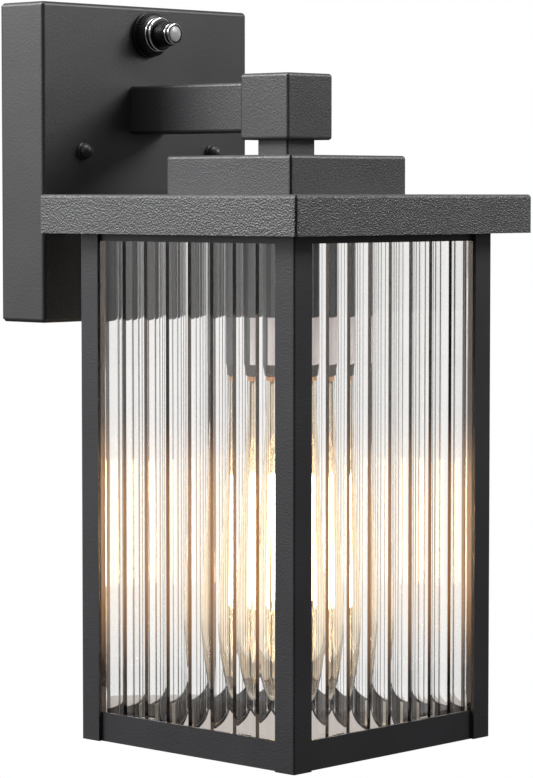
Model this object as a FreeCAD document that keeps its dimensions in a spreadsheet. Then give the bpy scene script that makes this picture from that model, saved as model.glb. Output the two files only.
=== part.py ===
import FreeCAD, Part
import math
import os
import re
import Sketcher

# Outdoor wall lantern, millimetres.  Origin: the centre of the wall plate's rear face, on the wall.
# +Y goes into the wall, +Z is up, and the lamp hangs in front of the wall on a vertical axis at -Y.

doc = FreeCAD.newDocument("WallLantern")

DIMENSIONS = [
    ("lamp_reach", 95, "wall face to the lamp's vertical axis"),
    ("plate_width", 108, "wall plate, left to right"),
    ("plate_rise", 118, "wall plate, bottom to top"),
    ("plate_depth", 22, "wall plate, depth of the metal pan"),
    ("plate_wall", 1.8, "wall plate, metal thickness"),
    ("plate_edge", 1.5, "wall plate, edge rounding"),
    ("gasket_thick", 1.5, "foam gasket between the plate and the wall"),
    ("gasket_band", 4, "foam gasket, width of the band"),
    ("arm_level", 20, "centre of the arm above the plate's centre"),
    ("arm_side", 18, "square arm, outside"),
    ("arm_wall", 1.5, "square arm, wall"),
    ("arm_edge", 1.2, "square arm, edge rounding"),
    ("plug_length", 12, "block welded in the arm's root"),
    ("wire_hole", 8, "wire way, diameter"),
    ("arm_screw", 3, "arm screws, diameter"),
    ("arm_screw_length", 9, "arm screws, shank length"),
    ("arm_screw_offset", 5.4, "arm screws, distance from the arm's centre"),
    ("cube_side", 24, "knuckle cube, outside"),
    ("cube_edge", 1.2, "knuckle cube, edge rounding"),
    ("neck_side", 15, "neck spacer, square side"),
    ("neck_rise", 5.7, "neck spacer, height"),
    ("neck_edge", 1, "neck spacer, edge rounding"),
    ("tier_side", 62, "small upper cap, square side"),
    ("tier_rise", 14, "small upper cap, height"),
    ("roof_rise", 14, "roof, height of its rim"),
    ("roof_overhang", 10.5, "roof, reach beyond the cage on each side"),
    ("sheet_wall", 1.6, "roof and cap, metal thickness"),
    ("sheet_edge", 1.3, "roof and cap, edge rounding"),
    ("cage_side", 106, "cage, outside of the corner posts"),
    ("cage_drop", 185.3, "cage, length below the roof's rim"),
    ("post_leg", 9, "corner post, width of each leg"),
    ("post_wall", 1.4, "corner post, thickness"),
    ("post_edge", 0.8, "corner post, rounding of the outer corner"),
    ("rail_rise", 10.5, "bottom rail, height"),
    ("top_rail_rise", 14, "top rail, height"),
    ("rail_band", 9.6, "rails, width of the flat flange"),
    ("rail_wall", 1.2, "rails and cage top plate, thickness"),
    ("pane_thick", 4, "glass pane, thickness at the ridges"),
    ("pane_gap", 0.2, "glass pane, gap to the rail in front of it"),
    ("pane_corner_gap", 0.3, "glass pane, gap to the next pane at a corner"),
    ("pane_headroom", 1, "glass pane, room above it"),
    ("flute_count", 8, "glass flutes, number per pane"),
    ("flute_radius", 13.5, "glass flutes, radius of the hollow"),
    ("ridge_width", 1.4, "glass flutes, width of the flat ridge between two"),
    ("clip_width", 6, "glass clip, width"),
    ("clip_rise", 9, "glass clip, height of the finger"),
    ("clip_foot", 3.5, "glass clip, length of the foot"),
    ("clip_wall", 0.8, "glass clip, thickness"),
    ("clip_offset", 24, "glass clip, distance from the middle of the pane"),
    ("nipple_width", 10, "threaded nipple, outside diameter"),
    ("nipple_bore", 7, "threaded nipple, inside diameter"),
    ("nut_wall", 1.35, "nipple nuts, thickness round the nipple"),
    ("nut_thick", 3, "nipple nuts, thickness"),
    ("thread_gap", 0.05, "clearance between a threaded piece and its hole"),
    ("hole_gap", 0.25, "clearance round a piece that passes through a hole"),
    ("sleeve_width", 39, "socket sleeve, outside diameter"),
    ("sleeve_wall", 1, "socket sleeve, thickness"),
    ("sleeve_length", 41, "socket sleeve, length below the cage top plate"),
    ("holder_top", 27, "lampholder, top below the cage top plate"),
    ("holder_show", 21.8, "lampholder, height that shows below the sleeve"),
    ("holder_edge", 1.2, "lampholder, edge rounding"),
    ("bracket_thick", 2, "lampholder bracket, thickness"),
    ("bracket_width", 30, "lampholder bracket, diameter"),
    ("bracket_screw", 3, "lampholder bracket screws, diameter"),
    ("bracket_screw_offset", 11, "lampholder bracket screws, distance from the axis"),
    ("bracket_screw_length", 6, "lampholder bracket screws, length below the bracket"),
    ("base_radius", 13.1, "bulb's screw base, outside radius"),
    ("base_wall", 0.4, "bulb's screw base, thickness"),
    ("base_length", 22.5, "bulb's screw base, length of the metal"),
    ("base_gap", 0.3, "clearance round the bulb's screw base and its eyelet"),
    ("base_show", 1.8, "bulb's screw base, length below the lampholder"),
    ("shell_wall", 0.5, "lampholder's screw shell, thickness"),
    ("insulator_rise", 3.3, "bulb's insulator, height"),
    ("insulator_radius", 9.5, "bulb's insulator, radius at the base"),
    ("eyelet_radius", 4.8, "bulb's eyelet, radius"),
    ("eyelet_rise", 1.2, "bulb's eyelet, height"),
    ("bulb_radius", 32, "bulb glass, widest radius"),
    ("bulb_length", 118, "bulb glass, length below the screw base"),
    ("bulb_wall", 0.8, "bulb glass, thickness"),
    ("neck_radius", 12.5, "bulb glass, radius at the screw base"),
    ("neck_tuck", 8, "bulb glass, length held inside the screw base"),
    ("stem_radius", 3.6, "bulb stem, radius"),
    ("stem_length", 28, "bulb stem, length below the screw base"),
    ("filament_top", 35, "filaments, top below the screw base"),
    ("filament_length", 48, "filaments, length"),
    ("filament_radius", 1.4, "filaments, radius"),
    ("filament_ring", 10, "filaments, distance from the axis"),
    ("filament_count", 8, "filaments, number"),
    ("wire_radius", 0.4, "support wires, radius"),
    ("seam_width", 0.6, "folded corners of the roof and the upper cap, seam width"),
    ("seam_depth", 0.8, "folded corners of the roof and the upper cap, seam depth"),
    ("taper_angle", 14.7, "bulb glass, taper's half angle in degrees"),
    ("flare_thick", 1.5, "bulb stem, thickness of the flare in the neck"),
    ("head_wide", 0.9, "screw heads, radius as a share of the thread's diameter"),
    ("head_rise", 0.7, "screw heads, height as a share of the thread's diameter"),
    ("rivet_head", 1.6, "rivet head, radius as a share of the shank's"),
    ("ground_head", 2, "ground screw head, flats as a share of the shank's diameter"),
    ("ground_rise", 0.75, "ground screw head, height as a share of the shank's diameter"),
    ("bush_wall", 1, "wire bush, thickness"),
    ("bush_lip", 0.4, "wire bush, how far its lip overlaps the hole"),
    ("lens_proud", 0.4, "sensor lens, how far it stands out of the bezel"),
    ("sensor_inset", 10.6, "light sensor, distance below the plate's top"),
    ("collar_radius", 8.5, "sensor collar, radius at the plate"),
    ("collar_nose", 7.5, "sensor collar, radius at its front"),
    ("collar_length", 4.5, "sensor collar, length"),
    ("ring_radius", 6.4, "sensor ring, radius"),
    ("ring_length", 2.8, "sensor ring, length"),
    ("barrel_radius", 4.6, "sensor barrel, radius"),
    ("barrel_length", 12.1, "sensor barrel, length in front of the plate"),
    ("barrel_bore", 3.4, "sensor barrel, radius of the bore"),
    ("barrel_tail", 9, "sensor barrel, length behind the plate's front"),
    ("bezel_radius", 3.9, "sensor bezel, radius"),
    ("bezel_length", 2.6, "sensor bezel, length"),
    ("lens_radius", 3.1, "sensor lens, radius"),
    ("lens_length", 3, "sensor lens, length"),
    ("cell_length", 2, "photocell, thickness"),
    ("strap_width", 20, "mounting straps, width"),
    ("strap_thick", 2, "mounting straps, thickness"),
    ("strap_gap", 0.8, "gap between the ends of the box strap and the gasket"),
    ("strap_end", 6, "strap for the plate's studs, length beyond each stud"),
    ("strap_level", 4.3, "centre of the straps above the plate's centre"),
    ("box_spacing", 79.4, "junction box screws, middle of the spacing that the slots allow"),
    ("slot_length", 14, "junction box slots, end to end"),
    ("slot_width", 4.6, "junction box slots, width"),
    ("stud_inset", 20, "plate studs, distance from the plate's side"),
    ("stud_radius", 2, "plate studs, radius"),
    ("cap_nut_radius", 3.2, "cap nuts, radius of the dome"),
    ("cap_nut_seat", 1.2, "cap nuts, height of the seat under the dome"),
    ("lock_nut_width", 7, "lock nuts on the studs, across flats"),
    ("lock_nut_thick", 2.4, "lock nuts on the studs, thickness"),
    ("rivet_radius", 3, "strap rivet, radius"),
    ("ground_offset", 22, "ground screw, distance below the straps' centre"),
    ("ground_radius", 2, "ground screw, radius"),
]

# Sizes that follow from the ones above.  Heights are measured on the lamp from the plate's centre.
DERIVED = {
    "roof_side": "cage_side + 2 * roof_overhang",
    "stud_offset": "plate_width / 2 - stud_inset",
    "sensor_level": "plate_rise / 2 - sensor_inset",
    "box_strap_length": "plate_rise - plate_wall - 2 * (gasket_band + strap_level + strap_gap)",
    "cross_strap_length": "2 * (stud_offset + strap_end)",
    "nut_width": "nipple_width + 2 * nut_wall",
    "flute_pitch": "(cage_side - 2 * post_leg) / flute_count",
    "flute_depth": "flute_radius - sqrt(flute_radius ^ 2 - ((flute_pitch - ridge_width) / 2) ^ 2)",
    "front_depth": "gasket_thick + plate_depth",
    "skin_depth": "gasket_thick + plate_depth - plate_wall",
    "arm_length": "lamp_reach - cube_side / 2 - gasket_thick - plate_depth",
    "arm_hollow": "arm_side - 2 * arm_wall",
    "cube_low": "arm_level - cube_side / 2",
    "cube_hollow": "2 * nut_width / sqrt(3) + 2 * hole_gap",
    "cube_floor": "(cube_side - cube_hollow) / 2",
    "tier_high": "arm_level - cube_side / 2 - neck_rise",
    "roof_high": "arm_level - cube_side / 2 - neck_rise - tier_rise",
    "roof_low": "arm_level - cube_side / 2 - neck_rise - tier_rise - roof_rise",
    "cage_high": "arm_level - cube_side / 2 - neck_rise - tier_rise - sheet_wall",
    "cage_ceiling": "cage_high - rail_wall",
    "cage_low": "roof_low - cage_drop",
    "rail_face": "cage_side / 2 - post_wall",
    "pane_face": "rail_face - rail_wall - pane_gap",
    "pane_back": "pane_face - pane_thick",
    "pane_low": "cage_low + rail_wall",
    "pane_rise": "cage_ceiling - rail_wall - pane_headroom - pane_low",
    "sleeve_low": "cage_ceiling - sleeve_length",
    "holder_high": "cage_ceiling - holder_top",
    "holder_low": "sleeve_low - holder_show",
    "bulb_high": "holder_low - base_show",
    "base_high": "bulb_high + base_length",
    "eyelet_high": "base_high + insulator_rise + eyelet_rise",
    "bore_high": "eyelet_high + base_gap + shell_wall",
    "shell_radius": "base_radius + base_gap",
    "nipple_radius": "nipple_width / 2",
    "nipple_high": "cube_low + cube_floor + nut_thick + 1",
    "bracket_low": "holder_high",
    "stud_back": "strap_thick",
    "stud_front": "front_depth + cap_nut_seat + 1",
}

ALIASES = {name for name, value, meaning in DIMENSIONS}
NODES = {}


def make_sheet():
    """The sheet of driving dimensions."""
    sheet = doc.addObject("Spreadsheet::Sheet", "dims")
    for row, (name, value, meaning) in enumerate(DIMENSIONS, start=1):
        sheet.set(f"A{row}", str(value))
        sheet.setAlias(f"A{row}", name)
        sheet.set(f"B{row}", meaning)
    doc.recompute()
    return sheet


def expr(text):
    """Write names of dimensions and derived sizes out as a spreadsheet expression."""
    def expand(match):
        word = match.group(0)
        if word in DERIVED:
            return f"({expr(DERIVED[word])})"
        return f"dims.{word}" if word in ALIASES else word
    return re.sub(r"[a-z_]+", expand, str(text))


def value(text):
    """The number that an expression of dimensions stands for, worked out by the document."""
    return float(sheet.evalExpression(expr(text)))


def bind(thing, path, text):
    thing.setExpression(path, expr(text))


def bind_base(thing, place):
    for axis, text in zip("xyz", place):
        bind(thing, f"Placement.Base.{axis}", text)


def node(name, thing):
    """Name a finished sub-part and list it for export."""
    thing.Label = name
    NODES[name] = thing
    return thing


# ---- Part primitives bound to the sheet ----

OUT = FreeCAD.Rotation(FreeCAD.Vector(1, 0, 0), 90)     # a cylinder's axis away from the wall
UP = FreeCAD.Rotation()
LAMP = ("0", "-lamp_reach")


def block(name, size, low):
    """A box from its size and its corner with the lowest coordinates."""
    box = doc.addObject("Part::Box", name)
    for side, text in zip(("Length", "Width", "Height"), size):
        bind(box, side, text)
    bind_base(box, low)
    return box


def centred_block(name, side, rise, low):
    """A square block round the lamp's axis."""
    return block(name, (side, side, rise), (f"-({side}) / 2", f"-lamp_reach - ({side}) / 2", low))


def cylinder(name, radius, length, place, rotation=UP):
    rod = doc.addObject("Part::Cylinder", name)
    bind(rod, "Radius", radius)
    bind(rod, "Height", length)
    rod.Placement.Rotation = rotation
    bind_base(rod, place)
    return rod


def cone(name, radius_low, radius_high, length, place, rotation=UP):
    frustum = doc.addObject("Part::Cone", name)
    bind(frustum, "Radius1", radius_low)
    bind(frustum, "Radius2", radius_high)
    bind(frustum, "Height", length)
    frustum.Placement.Rotation = rotation
    bind_base(frustum, place)
    return frustum


def hexagon(name, flats, length, place, rotation=UP):
    """A six-sided prism, given its width across flats."""
    prism = doc.addObject("Part::Prism", name)
    prism.Polygon = 6
    bind(prism, "Circumradius", f"({flats}) / sqrt(3)")
    bind(prism, "Height", length)
    prism.Placement.Rotation = rotation
    bind_base(prism, place)
    return prism


def fuse(name, pieces):
    union = doc.addObject("Part::MultiFuse", name)
    union.Shapes = pieces
    return union


def group(name, pieces):
    """Several separate solids that share one node."""
    compound = doc.addObject("Part::Compound", name)
    compound.Links = pieces
    return compound


def cut(name, base, tools):
    result = doc.addObject("Part::Cut", name)
    result.Base = base
    result.Tool = tools[0] if len(tools) == 1 else fuse(f"{name}_tools", tools)
    return result


def tube(name, outer, inner, length, place, rotation=UP):
    """A round tube from its two radii."""
    wall = cylinder(f"{name}_outside", outer, length, place, rotation)
    hollow = cylinder(f"{name}_inside", inner, length, place, rotation)
    return cut(name, wall, [hollow])


def nut(name, flats, bore, length, place, rotation=UP):
    """A hexagon nut."""
    prism = hexagon(f"{name}_hexagon", flats, length, place, rotation)
    hole = cylinder(f"{name}_bore", bore, length, place, rotation)
    return cut(name, prism, [hole])


# ---- PartDesign helpers ----

def new_body(name):
    return doc.addObject("PartDesign::Body", name)


def sketch_on(body, role, name, shift=("0", "0", "0")):
    """A sketch on one of the body's own origin planes, moved by an offset in the sketch's frame."""
    sketch = body.newObject("Sketcher::SketchObject", f"{body.Name}_{name}")
    plane = next(f for f in body.Origin.OriginFeatures if f.Role == role)
    sketch.AttachmentSupport = [(plane, "")]
    sketch.MapMode = "FlatFace"
    for axis, text in zip("xyz", shift):
        bind(sketch, f"AttachmentOffset.Base.{axis}", text)
    return sketch


def constrain(sketch, name, text, *constraint):
    """Add one named constraint whose value is bound to the sheet."""
    index = sketch.addConstraint(Sketcher.Constraint(*constraint, 1.0))
    sketch.renameConstraint(index, name)
    bind(sketch, f"Constraints.{name}", text)


def draw_loop(sketch, corners):
    """A closed loop of straight lines through rough corners; returns the lines' first index."""
    first = sketch.GeometryCount
    points = [FreeCAD.Vector(x, y, 0) for x, y in corners]
    count = len(points)
    for i in range(count):
        sketch.addGeometry(Part.LineSegment(points[i], points[(i + 1) % count]), False)
    for i in range(count):
        after = first + (i + 1) % count
        sketch.addConstraint(Sketcher.Constraint("Coincident", first + i, 2, after, 1))
    return first


def draw_rectangle(sketch, width, rise, tag=""):
    """A rectangle centred on the sketch's origin."""
    first = draw_loop(sketch, [(-1, -1), (1, -1), (1, 1), (-1, 1)])
    sketch.addConstraint(Sketcher.Constraint("Horizontal", first))
    sketch.addConstraint(Sketcher.Constraint("Horizontal", first + 2))
    sketch.addConstraint(Sketcher.Constraint("Vertical", first + 1))
    sketch.addConstraint(Sketcher.Constraint("Vertical", first + 3))
    sketch.addConstraint(Sketcher.Constraint("Symmetric", first, 1, first + 1, 2, -1, 1))
    constrain(sketch, f"width{tag}", width, "DistanceX", first, 1, first, 2)
    constrain(sketch, f"rise{tag}", rise, "DistanceY", first + 1, 1, first + 1, 2)


def draw_circle(sketch, tag, radius, across="0", up="0"):
    index = sketch.addGeometry(Part.Circle(FreeCAD.Vector(), FreeCAD.Vector(0, 0, 1), 1.0), False)
    constrain(sketch, f"across{tag}", across, "DistanceX", -1, 1, index, 3)
    constrain(sketch, f"up{tag}", up, "DistanceY", -1, 1, index, 3)
    constrain(sketch, f"radius{tag}", radius, "Radius", index)


def pad(body, sketch, length):
    feature = body.newObject("PartDesign::Pad", f"{sketch.Name}_pad")
    feature.Profile = sketch
    bind(feature, "Length", length)
    doc.recompute()
    return feature


def pocket(body, sketch, length, along_normal=False):
    """Cut a sketch's shape out of the body and check that something was cut."""
    before = body.Shape.Volume
    feature = body.newObject("PartDesign::Pocket", f"{sketch.Name}_pocket")
    feature.Profile = sketch
    feature.Reversed = along_normal
    bind(feature, "Length", length)
    doc.recompute()
    if not feature.Shape.Volume < before:
        raise RuntimeError(f"{feature.Name} cut nothing")
    return feature


def round_edges(body, radius, chosen):
    """Round the edges of the body's last feature for which chosen(edge) is true."""
    base = body.Tip
    names = [f"Edge{i}" for i, edge in enumerate(base.Shape.Edges, start=1) if chosen(edge)]
    feature = body.newObject("PartDesign::Fillet", f"{base.Name}_fillet")
    feature.Base = (base, names)
    bind(feature, "Radius", radius)
    doc.recompute()
    return feature


def spans(edge, axis):
    """True for an edge that runs along the axis given as X, Y or Z."""
    box = edge.BoundBox
    lengths = {"X": box.XLength, "Y": box.YLength, "Z": box.ZLength}
    return all(lengths[axis] > lengths[other] for other in lengths if other != axis)


# ---- Wall group ----

def make_canopy():
    """The wall plate: a deep rectangular pan, open to the wall."""
    body = new_body("wall_canopy_body")
    outline = sketch_on(body, "XZ_Plane", "outline", ("0", "0", "gasket_thick"))
    draw_rectangle(outline, "plate_width", "plate_rise")
    pad(body, outline, "plate_depth")
    back = -value("gasket_thick")
    round_edges(body, "plate_edge", lambda edge: edge.BoundBox.YMin < back - 0.01)
    hollow = sketch_on(body, "XZ_Plane", "hollow", ("0", "0", "gasket_thick"))
    draw_rectangle(hollow, "plate_width - 2 * plate_wall", "plate_rise - 2 * plate_wall")
    pocket(body, hollow, "plate_depth - plate_wall", along_normal=True)
    holes = sketch_on(body, "XZ_Plane", "holes", ("0", "0", "skin_depth"))
    draw_circle(holes, "_wire", "wire_hole / 2", "0", "arm_level")
    draw_circle(holes, "_sensor", "barrel_radius + thread_gap", "0", "sensor_level")
    for tag, side in (("_left", "-"), ("_right", "")):
        draw_circle(holes, f"_stud{tag}", "stud_radius + hole_gap", f"{side}stud_offset", "strap_level")
        draw_circle(holes, f"_arm{tag}", "arm_screw / 2 + hole_gap",
                    f"{side}arm_screw_offset", f"arm_level {side or '+'} arm_screw_offset")
    pocket(body, holes, "plate_wall", along_normal=True)
    return node("wall_canopy", body)


def make_gasket():
    """The foam band between the plate's rim and the wall."""
    body = new_body("wall_gasket_body")
    band = sketch_on(body, "XZ_Plane", "band")
    draw_rectangle(band, "plate_width - plate_wall", "plate_rise - plate_wall", "_outer")
    draw_rectangle(band, "plate_width - plate_wall - 2 * gasket_band",
                   "plate_rise - plate_wall - 2 * gasket_band", "_inner")
    pad(body, band, "gasket_thick")
    return node("wall_gasket", body)


def make_box_strap():
    """The upright strap that is screwed to the junction box through two slots."""
    body = new_body("box_strap_body")
    outline = sketch_on(body, "XZ_Plane", "outline", ("0", "strap_level", "0"))
    draw_rectangle(outline, "strap_width", "box_strap_length")
    pad(body, outline, "strap_thick")
    ends = sketch_on(body, "XZ_Plane", "slot_ends", ("0", "strap_level", "0"))
    for tag, side in (("top", "1"), ("low", "-1")):
        middle = f"{side} * box_spacing / 2"
        slot = sketch_on(body, "XZ_Plane", f"slot_{tag}", ("0", f"strap_level + {middle}", "0"))
        draw_rectangle(slot, "slot_width", "slot_length - slot_width")
        pocket(body, slot, "strap_thick", along_normal=True)
        for end, way in (("_a", "1"), ("_b", "-1")):
            draw_circle(ends, f"_{tag}{end}", "slot_width / 2", "0",
                        f"{middle} + {way} * (slot_length - slot_width) / 2")
    pocket(body, ends, "strap_thick", along_normal=True)
    holes = sketch_on(body, "XZ_Plane", "holes", ("0", "strap_level", "0"))
    draw_circle(holes, "_rivet", "rivet_radius + thread_gap")
    draw_circle(holes, "_ground", "ground_radius + thread_gap", "0", "-ground_offset")
    pocket(body, holes, "strap_thick", along_normal=True)
    return node("box_strap", body)


def make_cross_strap():
    """The level strap in front of it, which carries the plate's studs."""
    body = new_body("cross_strap_body")
    outline = sketch_on(body, "XZ_Plane", "outline", ("0", "strap_level", "strap_thick"))
    draw_rectangle(outline, "cross_strap_length", "strap_width")
    pad(body, outline, "strap_thick")
    holes = sketch_on(body, "XZ_Plane", "holes", ("0", "strap_level", "strap_thick"))
    draw_circle(holes, "_rivet", "rivet_radius + thread_gap")
    for tag, side in (("_left", "-"), ("_right", "")):
        draw_circle(holes, tag, "stud_radius + thread_gap", f"{side}stud_offset")
    pocket(body, holes, "strap_thick", along_normal=True)
    return node("cross_strap", body)


def make_strap_rivet():
    """The rivet that holds the two straps together."""
    shank = cylinder("rivet_shank", "rivet_radius", "2 * strap_thick", ("0", "0", "strap_level"), OUT)
    head = cylinder("rivet_head", "rivet_head * rivet_radius", "strap_thick / 2",
                    ("0", "-2 * strap_thick", "strap_level"), OUT)
    return node("strap_rivet", fuse("strap_rivet_body", [shank, head]))


def make_ground_screw():
    shank = cylinder("ground_shank", "ground_radius", "strap_thick",
                     ("0", "0", "strap_level - ground_offset"), OUT)
    head = hexagon("ground_head", "2 * ground_head * ground_radius",
                   "2 * ground_rise * ground_radius",
                   ("0", "-strap_thick", "strap_level - ground_offset"), OUT)
    return node("ground_screw", fuse("ground_screw_body", [shank, head]))


def both_sides(name, build):
    """Build a stud fitting on the left and on the right and put both in one node."""
    sides = (("left", "-stud_offset"), ("right", "stud_offset"))
    return node(name, group(f"{name}_group", [build(f"{name}_{tag}", across) for tag, across in sides]))


def make_studs():
    """Two studs from the level strap through the plate's front."""
    return both_sides("plate_studs", lambda name, across: cylinder(
        name, "stud_radius", "stud_front - stud_back", (across, "-stud_back", "strap_level"), OUT))


def make_lock_nuts():
    """Nuts that lock the studs to the level strap."""
    return both_sides("stud_lock_nuts", lambda name, across: nut(
        name, "lock_nut_width", "stud_radius + thread_gap", "lock_nut_thick",
        (across, "-2 * strap_thick", "strap_level"), OUT))


def cap_nut(name, across):
    """A domed nut with a blind bore for the stud's end."""
    seat = cylinder(f"{name}_seat", "cap_nut_radius", "cap_nut_seat",
                    (across, "-front_depth", "strap_level"), OUT)
    dome = doc.addObject("Part::Sphere", f"{name}_dome")
    bind(dome, "Radius", "cap_nut_radius")
    dome.Angle1 = 0
    dome.Placement.Rotation = OUT
    bind_base(dome, (across, "-front_depth - cap_nut_seat", "strap_level"))
    bore = cylinder(f"{name}_bore", "stud_radius + thread_gap", "stud_front - front_depth + thread_gap",
                    (across, "-front_depth", "strap_level"), OUT)
    return cut(name, fuse(f"{name}_outside", [seat, dome]), [bore])


def make_cap_nuts():
    """The two small domed nuts on the plate's front."""
    return both_sides("plate_cap_nuts", cap_nut)


# ---- Arm group ----

def make_arm():
    """The square tube from the plate to the knuckle cube."""
    body = new_body("arm_tube_body")
    outside = sketch_on(body, "XZ_Plane", "outside", ("0", "arm_level", "front_depth"))
    draw_rectangle(outside, "arm_side", "arm_side")
    pad(body, outside, "arm_length")
    round_edges(body, "arm_edge", lambda edge: spans(edge, "Y"))
    inside = sketch_on(body, "XZ_Plane", "inside", ("0", "arm_level", "front_depth"))
    draw_rectangle(inside, "arm_hollow", "arm_hollow")
    pocket(body, inside, "arm_length", along_normal=True)
    return node("arm_tube", body)


def make_arm_plug():
    """The tapped block welded in the arm's root."""
    body = new_body("arm_root_plug_body")
    outline = sketch_on(body, "XZ_Plane", "outline", ("0", "arm_level", "front_depth"))
    draw_rectangle(outline, "arm_hollow", "arm_hollow")
    pad(body, outline, "plug_length")
    holes = sketch_on(body, "XZ_Plane", "holes", ("0", "arm_level", "front_depth"))
    draw_circle(holes, "_wire", "wire_hole / 2")
    for tag, side in (("_left", "-"), ("_right", "")):
        draw_circle(holes, tag, "arm_screw / 2 + thread_gap",
                    f"{side}arm_screw_offset", f"{side}arm_screw_offset")
    pocket(body, holes, "plug_length", along_normal=True)
    return node("arm_root_plug", body)


def make_arm_screws():
    """The two screws that hold the arm from inside the wall plate."""
    screws = []
    for tag, side in (("left", "-"), ("right", "")):
        across = f"{side}arm_screw_offset"
        level = f"arm_level {side or '+'} arm_screw_offset"
        shank = cylinder(f"arm_shank_{tag}", "arm_screw / 2", "arm_screw_length",
                         (across, "-skin_depth", level), OUT)
        head = cylinder(f"arm_head_{tag}", "head_wide * arm_screw", "head_rise * arm_screw",
                        (across, "-skin_depth + head_rise * arm_screw", level), OUT)
        screws.append(fuse(f"arm_screw_{tag}", [shank, head]))
    return node("arm_screws", group("arm_screws_group", screws))


def make_wire_bush():
    """The plastic bush that keeps the leads off the plate's wire hole."""
    bore = "wire_hole / 2 - bush_wall"
    neck = tube("bush_neck", "wire_hole / 2 - thread_gap", bore, "plate_wall",
                ("0", "-skin_depth", "arm_level"), OUT)
    lip = tube("bush_lip_ring", "wire_hole / 2 + bush_lip", bore, "bush_wall",
               ("0", "-skin_depth + bush_wall", "arm_level"), OUT)
    return node("wire_bush", fuse("wire_bush_body", [neck, lip]))


def make_cube():
    """The knuckle cube, hollow behind the arm's end and bored for the nipple."""
    body = new_body("knuckle_cube_body")
    bind_base(body, (*LAMP, "cube_low"))
    outline = sketch_on(body, "XY_Plane", "outline")
    draw_rectangle(outline, "cube_side", "cube_side")
    pad(body, outline, "cube_side")
    round_edges(body, "cube_edge", lambda edge: True)
    hollow = sketch_on(body, "XZ_Plane", "hollow", ("0", "cube_side / 2", "-cube_side / 2"))
    draw_rectangle(hollow, "cube_hollow", "cube_hollow")
    pocket(body, hollow, "cube_side - cube_floor", along_normal=True)
    bore = sketch_on(body, "XY_Plane", "bore")
    draw_circle(bore, "_nipple", "nipple_radius + thread_gap")
    pocket(body, bore, "cube_floor", along_normal=True)
    return node("knuckle_cube", body)


def make_neck():
    """The square spacer between the cube and the upper cap."""
    body = new_body("neck_spacer_body")
    bind_base(body, (*LAMP, "tier_high"))
    outline = sketch_on(body, "XY_Plane", "outline")
    draw_rectangle(outline, "neck_side", "neck_side")
    pad(body, outline, "neck_rise")
    round_edges(body, "neck_edge", lambda edge: spans(edge, "Z"))
    bore = sketch_on(body, "XY_Plane", "bore")
    draw_circle(bore, "_nipple", "nipple_radius + thread_gap")
    pocket(body, bore, "neck_rise", along_normal=True)
    return node("neck_spacer", body)


# ---- Roof ----

def make_pan(name, side, rise, low):
    """A square folded pan, open below, with rounded edges, corner seams and a hole for the nipple."""
    body = new_body(f"{name}_body")
    bind_base(body, (*LAMP, low))
    outline = sketch_on(body, "XY_Plane", "outline")
    draw_rectangle(outline, side, side)
    pad(body, outline, rise)
    round_edges(body, "sheet_edge", lambda edge: edge.BoundBox.ZMax > 0.01)
    hollow = sketch_on(body, "XY_Plane", "hollow")
    draw_rectangle(hollow, f"{side} - 2 * sheet_wall", f"{side} - 2 * sheet_wall")
    pocket(body, hollow, f"{rise} - sheet_wall", along_normal=True)
    bore = sketch_on(body, "XY_Plane", "bore", ("0", "0", f"{rise} - sheet_wall"))
    draw_circle(bore, "_nipple", "nipple_radius + thread_gap")
    pocket(body, bore, "sheet_wall", along_normal=True)
    reach = f"({side} / sqrt(2) - sheet_edge * (sqrt(2) - 1) - seam_depth)"
    seams = []
    for quarter in range(4):
        turn = 45 + 90 * quarter
        seam = block(f"{name}_seam_{CORNERS[quarter]}", ("2 * seam_depth", "seam_width", rise),
                     (f"{reach} * cos({turn}) + seam_width / 2 * sin({turn})",
                      f"-lamp_reach + {reach} * sin({turn}) - seam_width / 2 * cos({turn})", low))
        seam.Placement.Rotation = FreeCAD.Rotation(FreeCAD.Vector(0, 0, 1), turn)
        seams.append(seam)
    return node(name, cut(f"{name}_seamed", body, seams))


def make_nipple():
    """The hollow threaded rod that clamps cube, caps, cage and socket together."""
    return node("threaded_nipple", tube(
        "threaded_nipple_body", "nipple_radius", "nipple_bore / 2",
        "nipple_high - bracket_low", (*LAMP, "bracket_low")))


def make_nipple_nuts():
    """One nut inside the cube and one under the sleeve's top."""
    bore = "nipple_radius + thread_gap"
    upper = nut("upper_nut", "nut_width", bore, "nut_thick", (*LAMP, "cube_low + cube_floor"))
    lower = nut("lower_nut", "nut_width", bore, "nut_thick",
                (*LAMP, "cage_ceiling - sleeve_wall - nut_thick"))
    return node("nipple_nuts", group("nipple_nuts_group", [upper, lower]))


# ---- Cage ----

SIDES = ("front", "right", "rear", "left")
CORNERS = ("front_right", "rear_right", "rear_left", "front_left")


def turn_to(body, quarter, low):
    """Put a body that was drawn at the lamp's front on one of its four sides."""
    body.Placement.Rotation = FreeCAD.Rotation(FreeCAD.Vector(0, 0, 1), 90 * quarter)
    bind_base(body, (*LAMP, low))


def make_post(quarter):
    """An angle-section corner post with its outer corner rounded."""
    name = f"corner_post_{CORNERS[quarter]}"
    body = new_body(f"{name}_body")
    turn_to(body, quarter, "cage_low")
    middle = "(cage_side - post_leg) / 2"
    outline = sketch_on(body, "XY_Plane", "outline", (middle, f"-{middle}", "0"))
    draw_rectangle(outline, "post_leg", "post_leg")
    pad(body, outline, "cage_high - cage_low")
    corner = value("cage_side") / 2
    round_edges(body, "post_edge", lambda edge: spans(edge, "Z")
                and edge.BoundBox.XMax > corner - 0.01 and edge.BoundBox.YMin < 0.01 - corner)
    inside = "(cage_side - post_leg) / 2 - post_wall"
    hollow = sketch_on(body, "XY_Plane", "hollow", (inside, f"-({inside})", "0"))
    draw_rectangle(hollow, "post_leg", "post_leg")
    pocket(body, hollow, "cage_high - cage_low", along_normal=True)
    return node(name, body)


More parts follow.
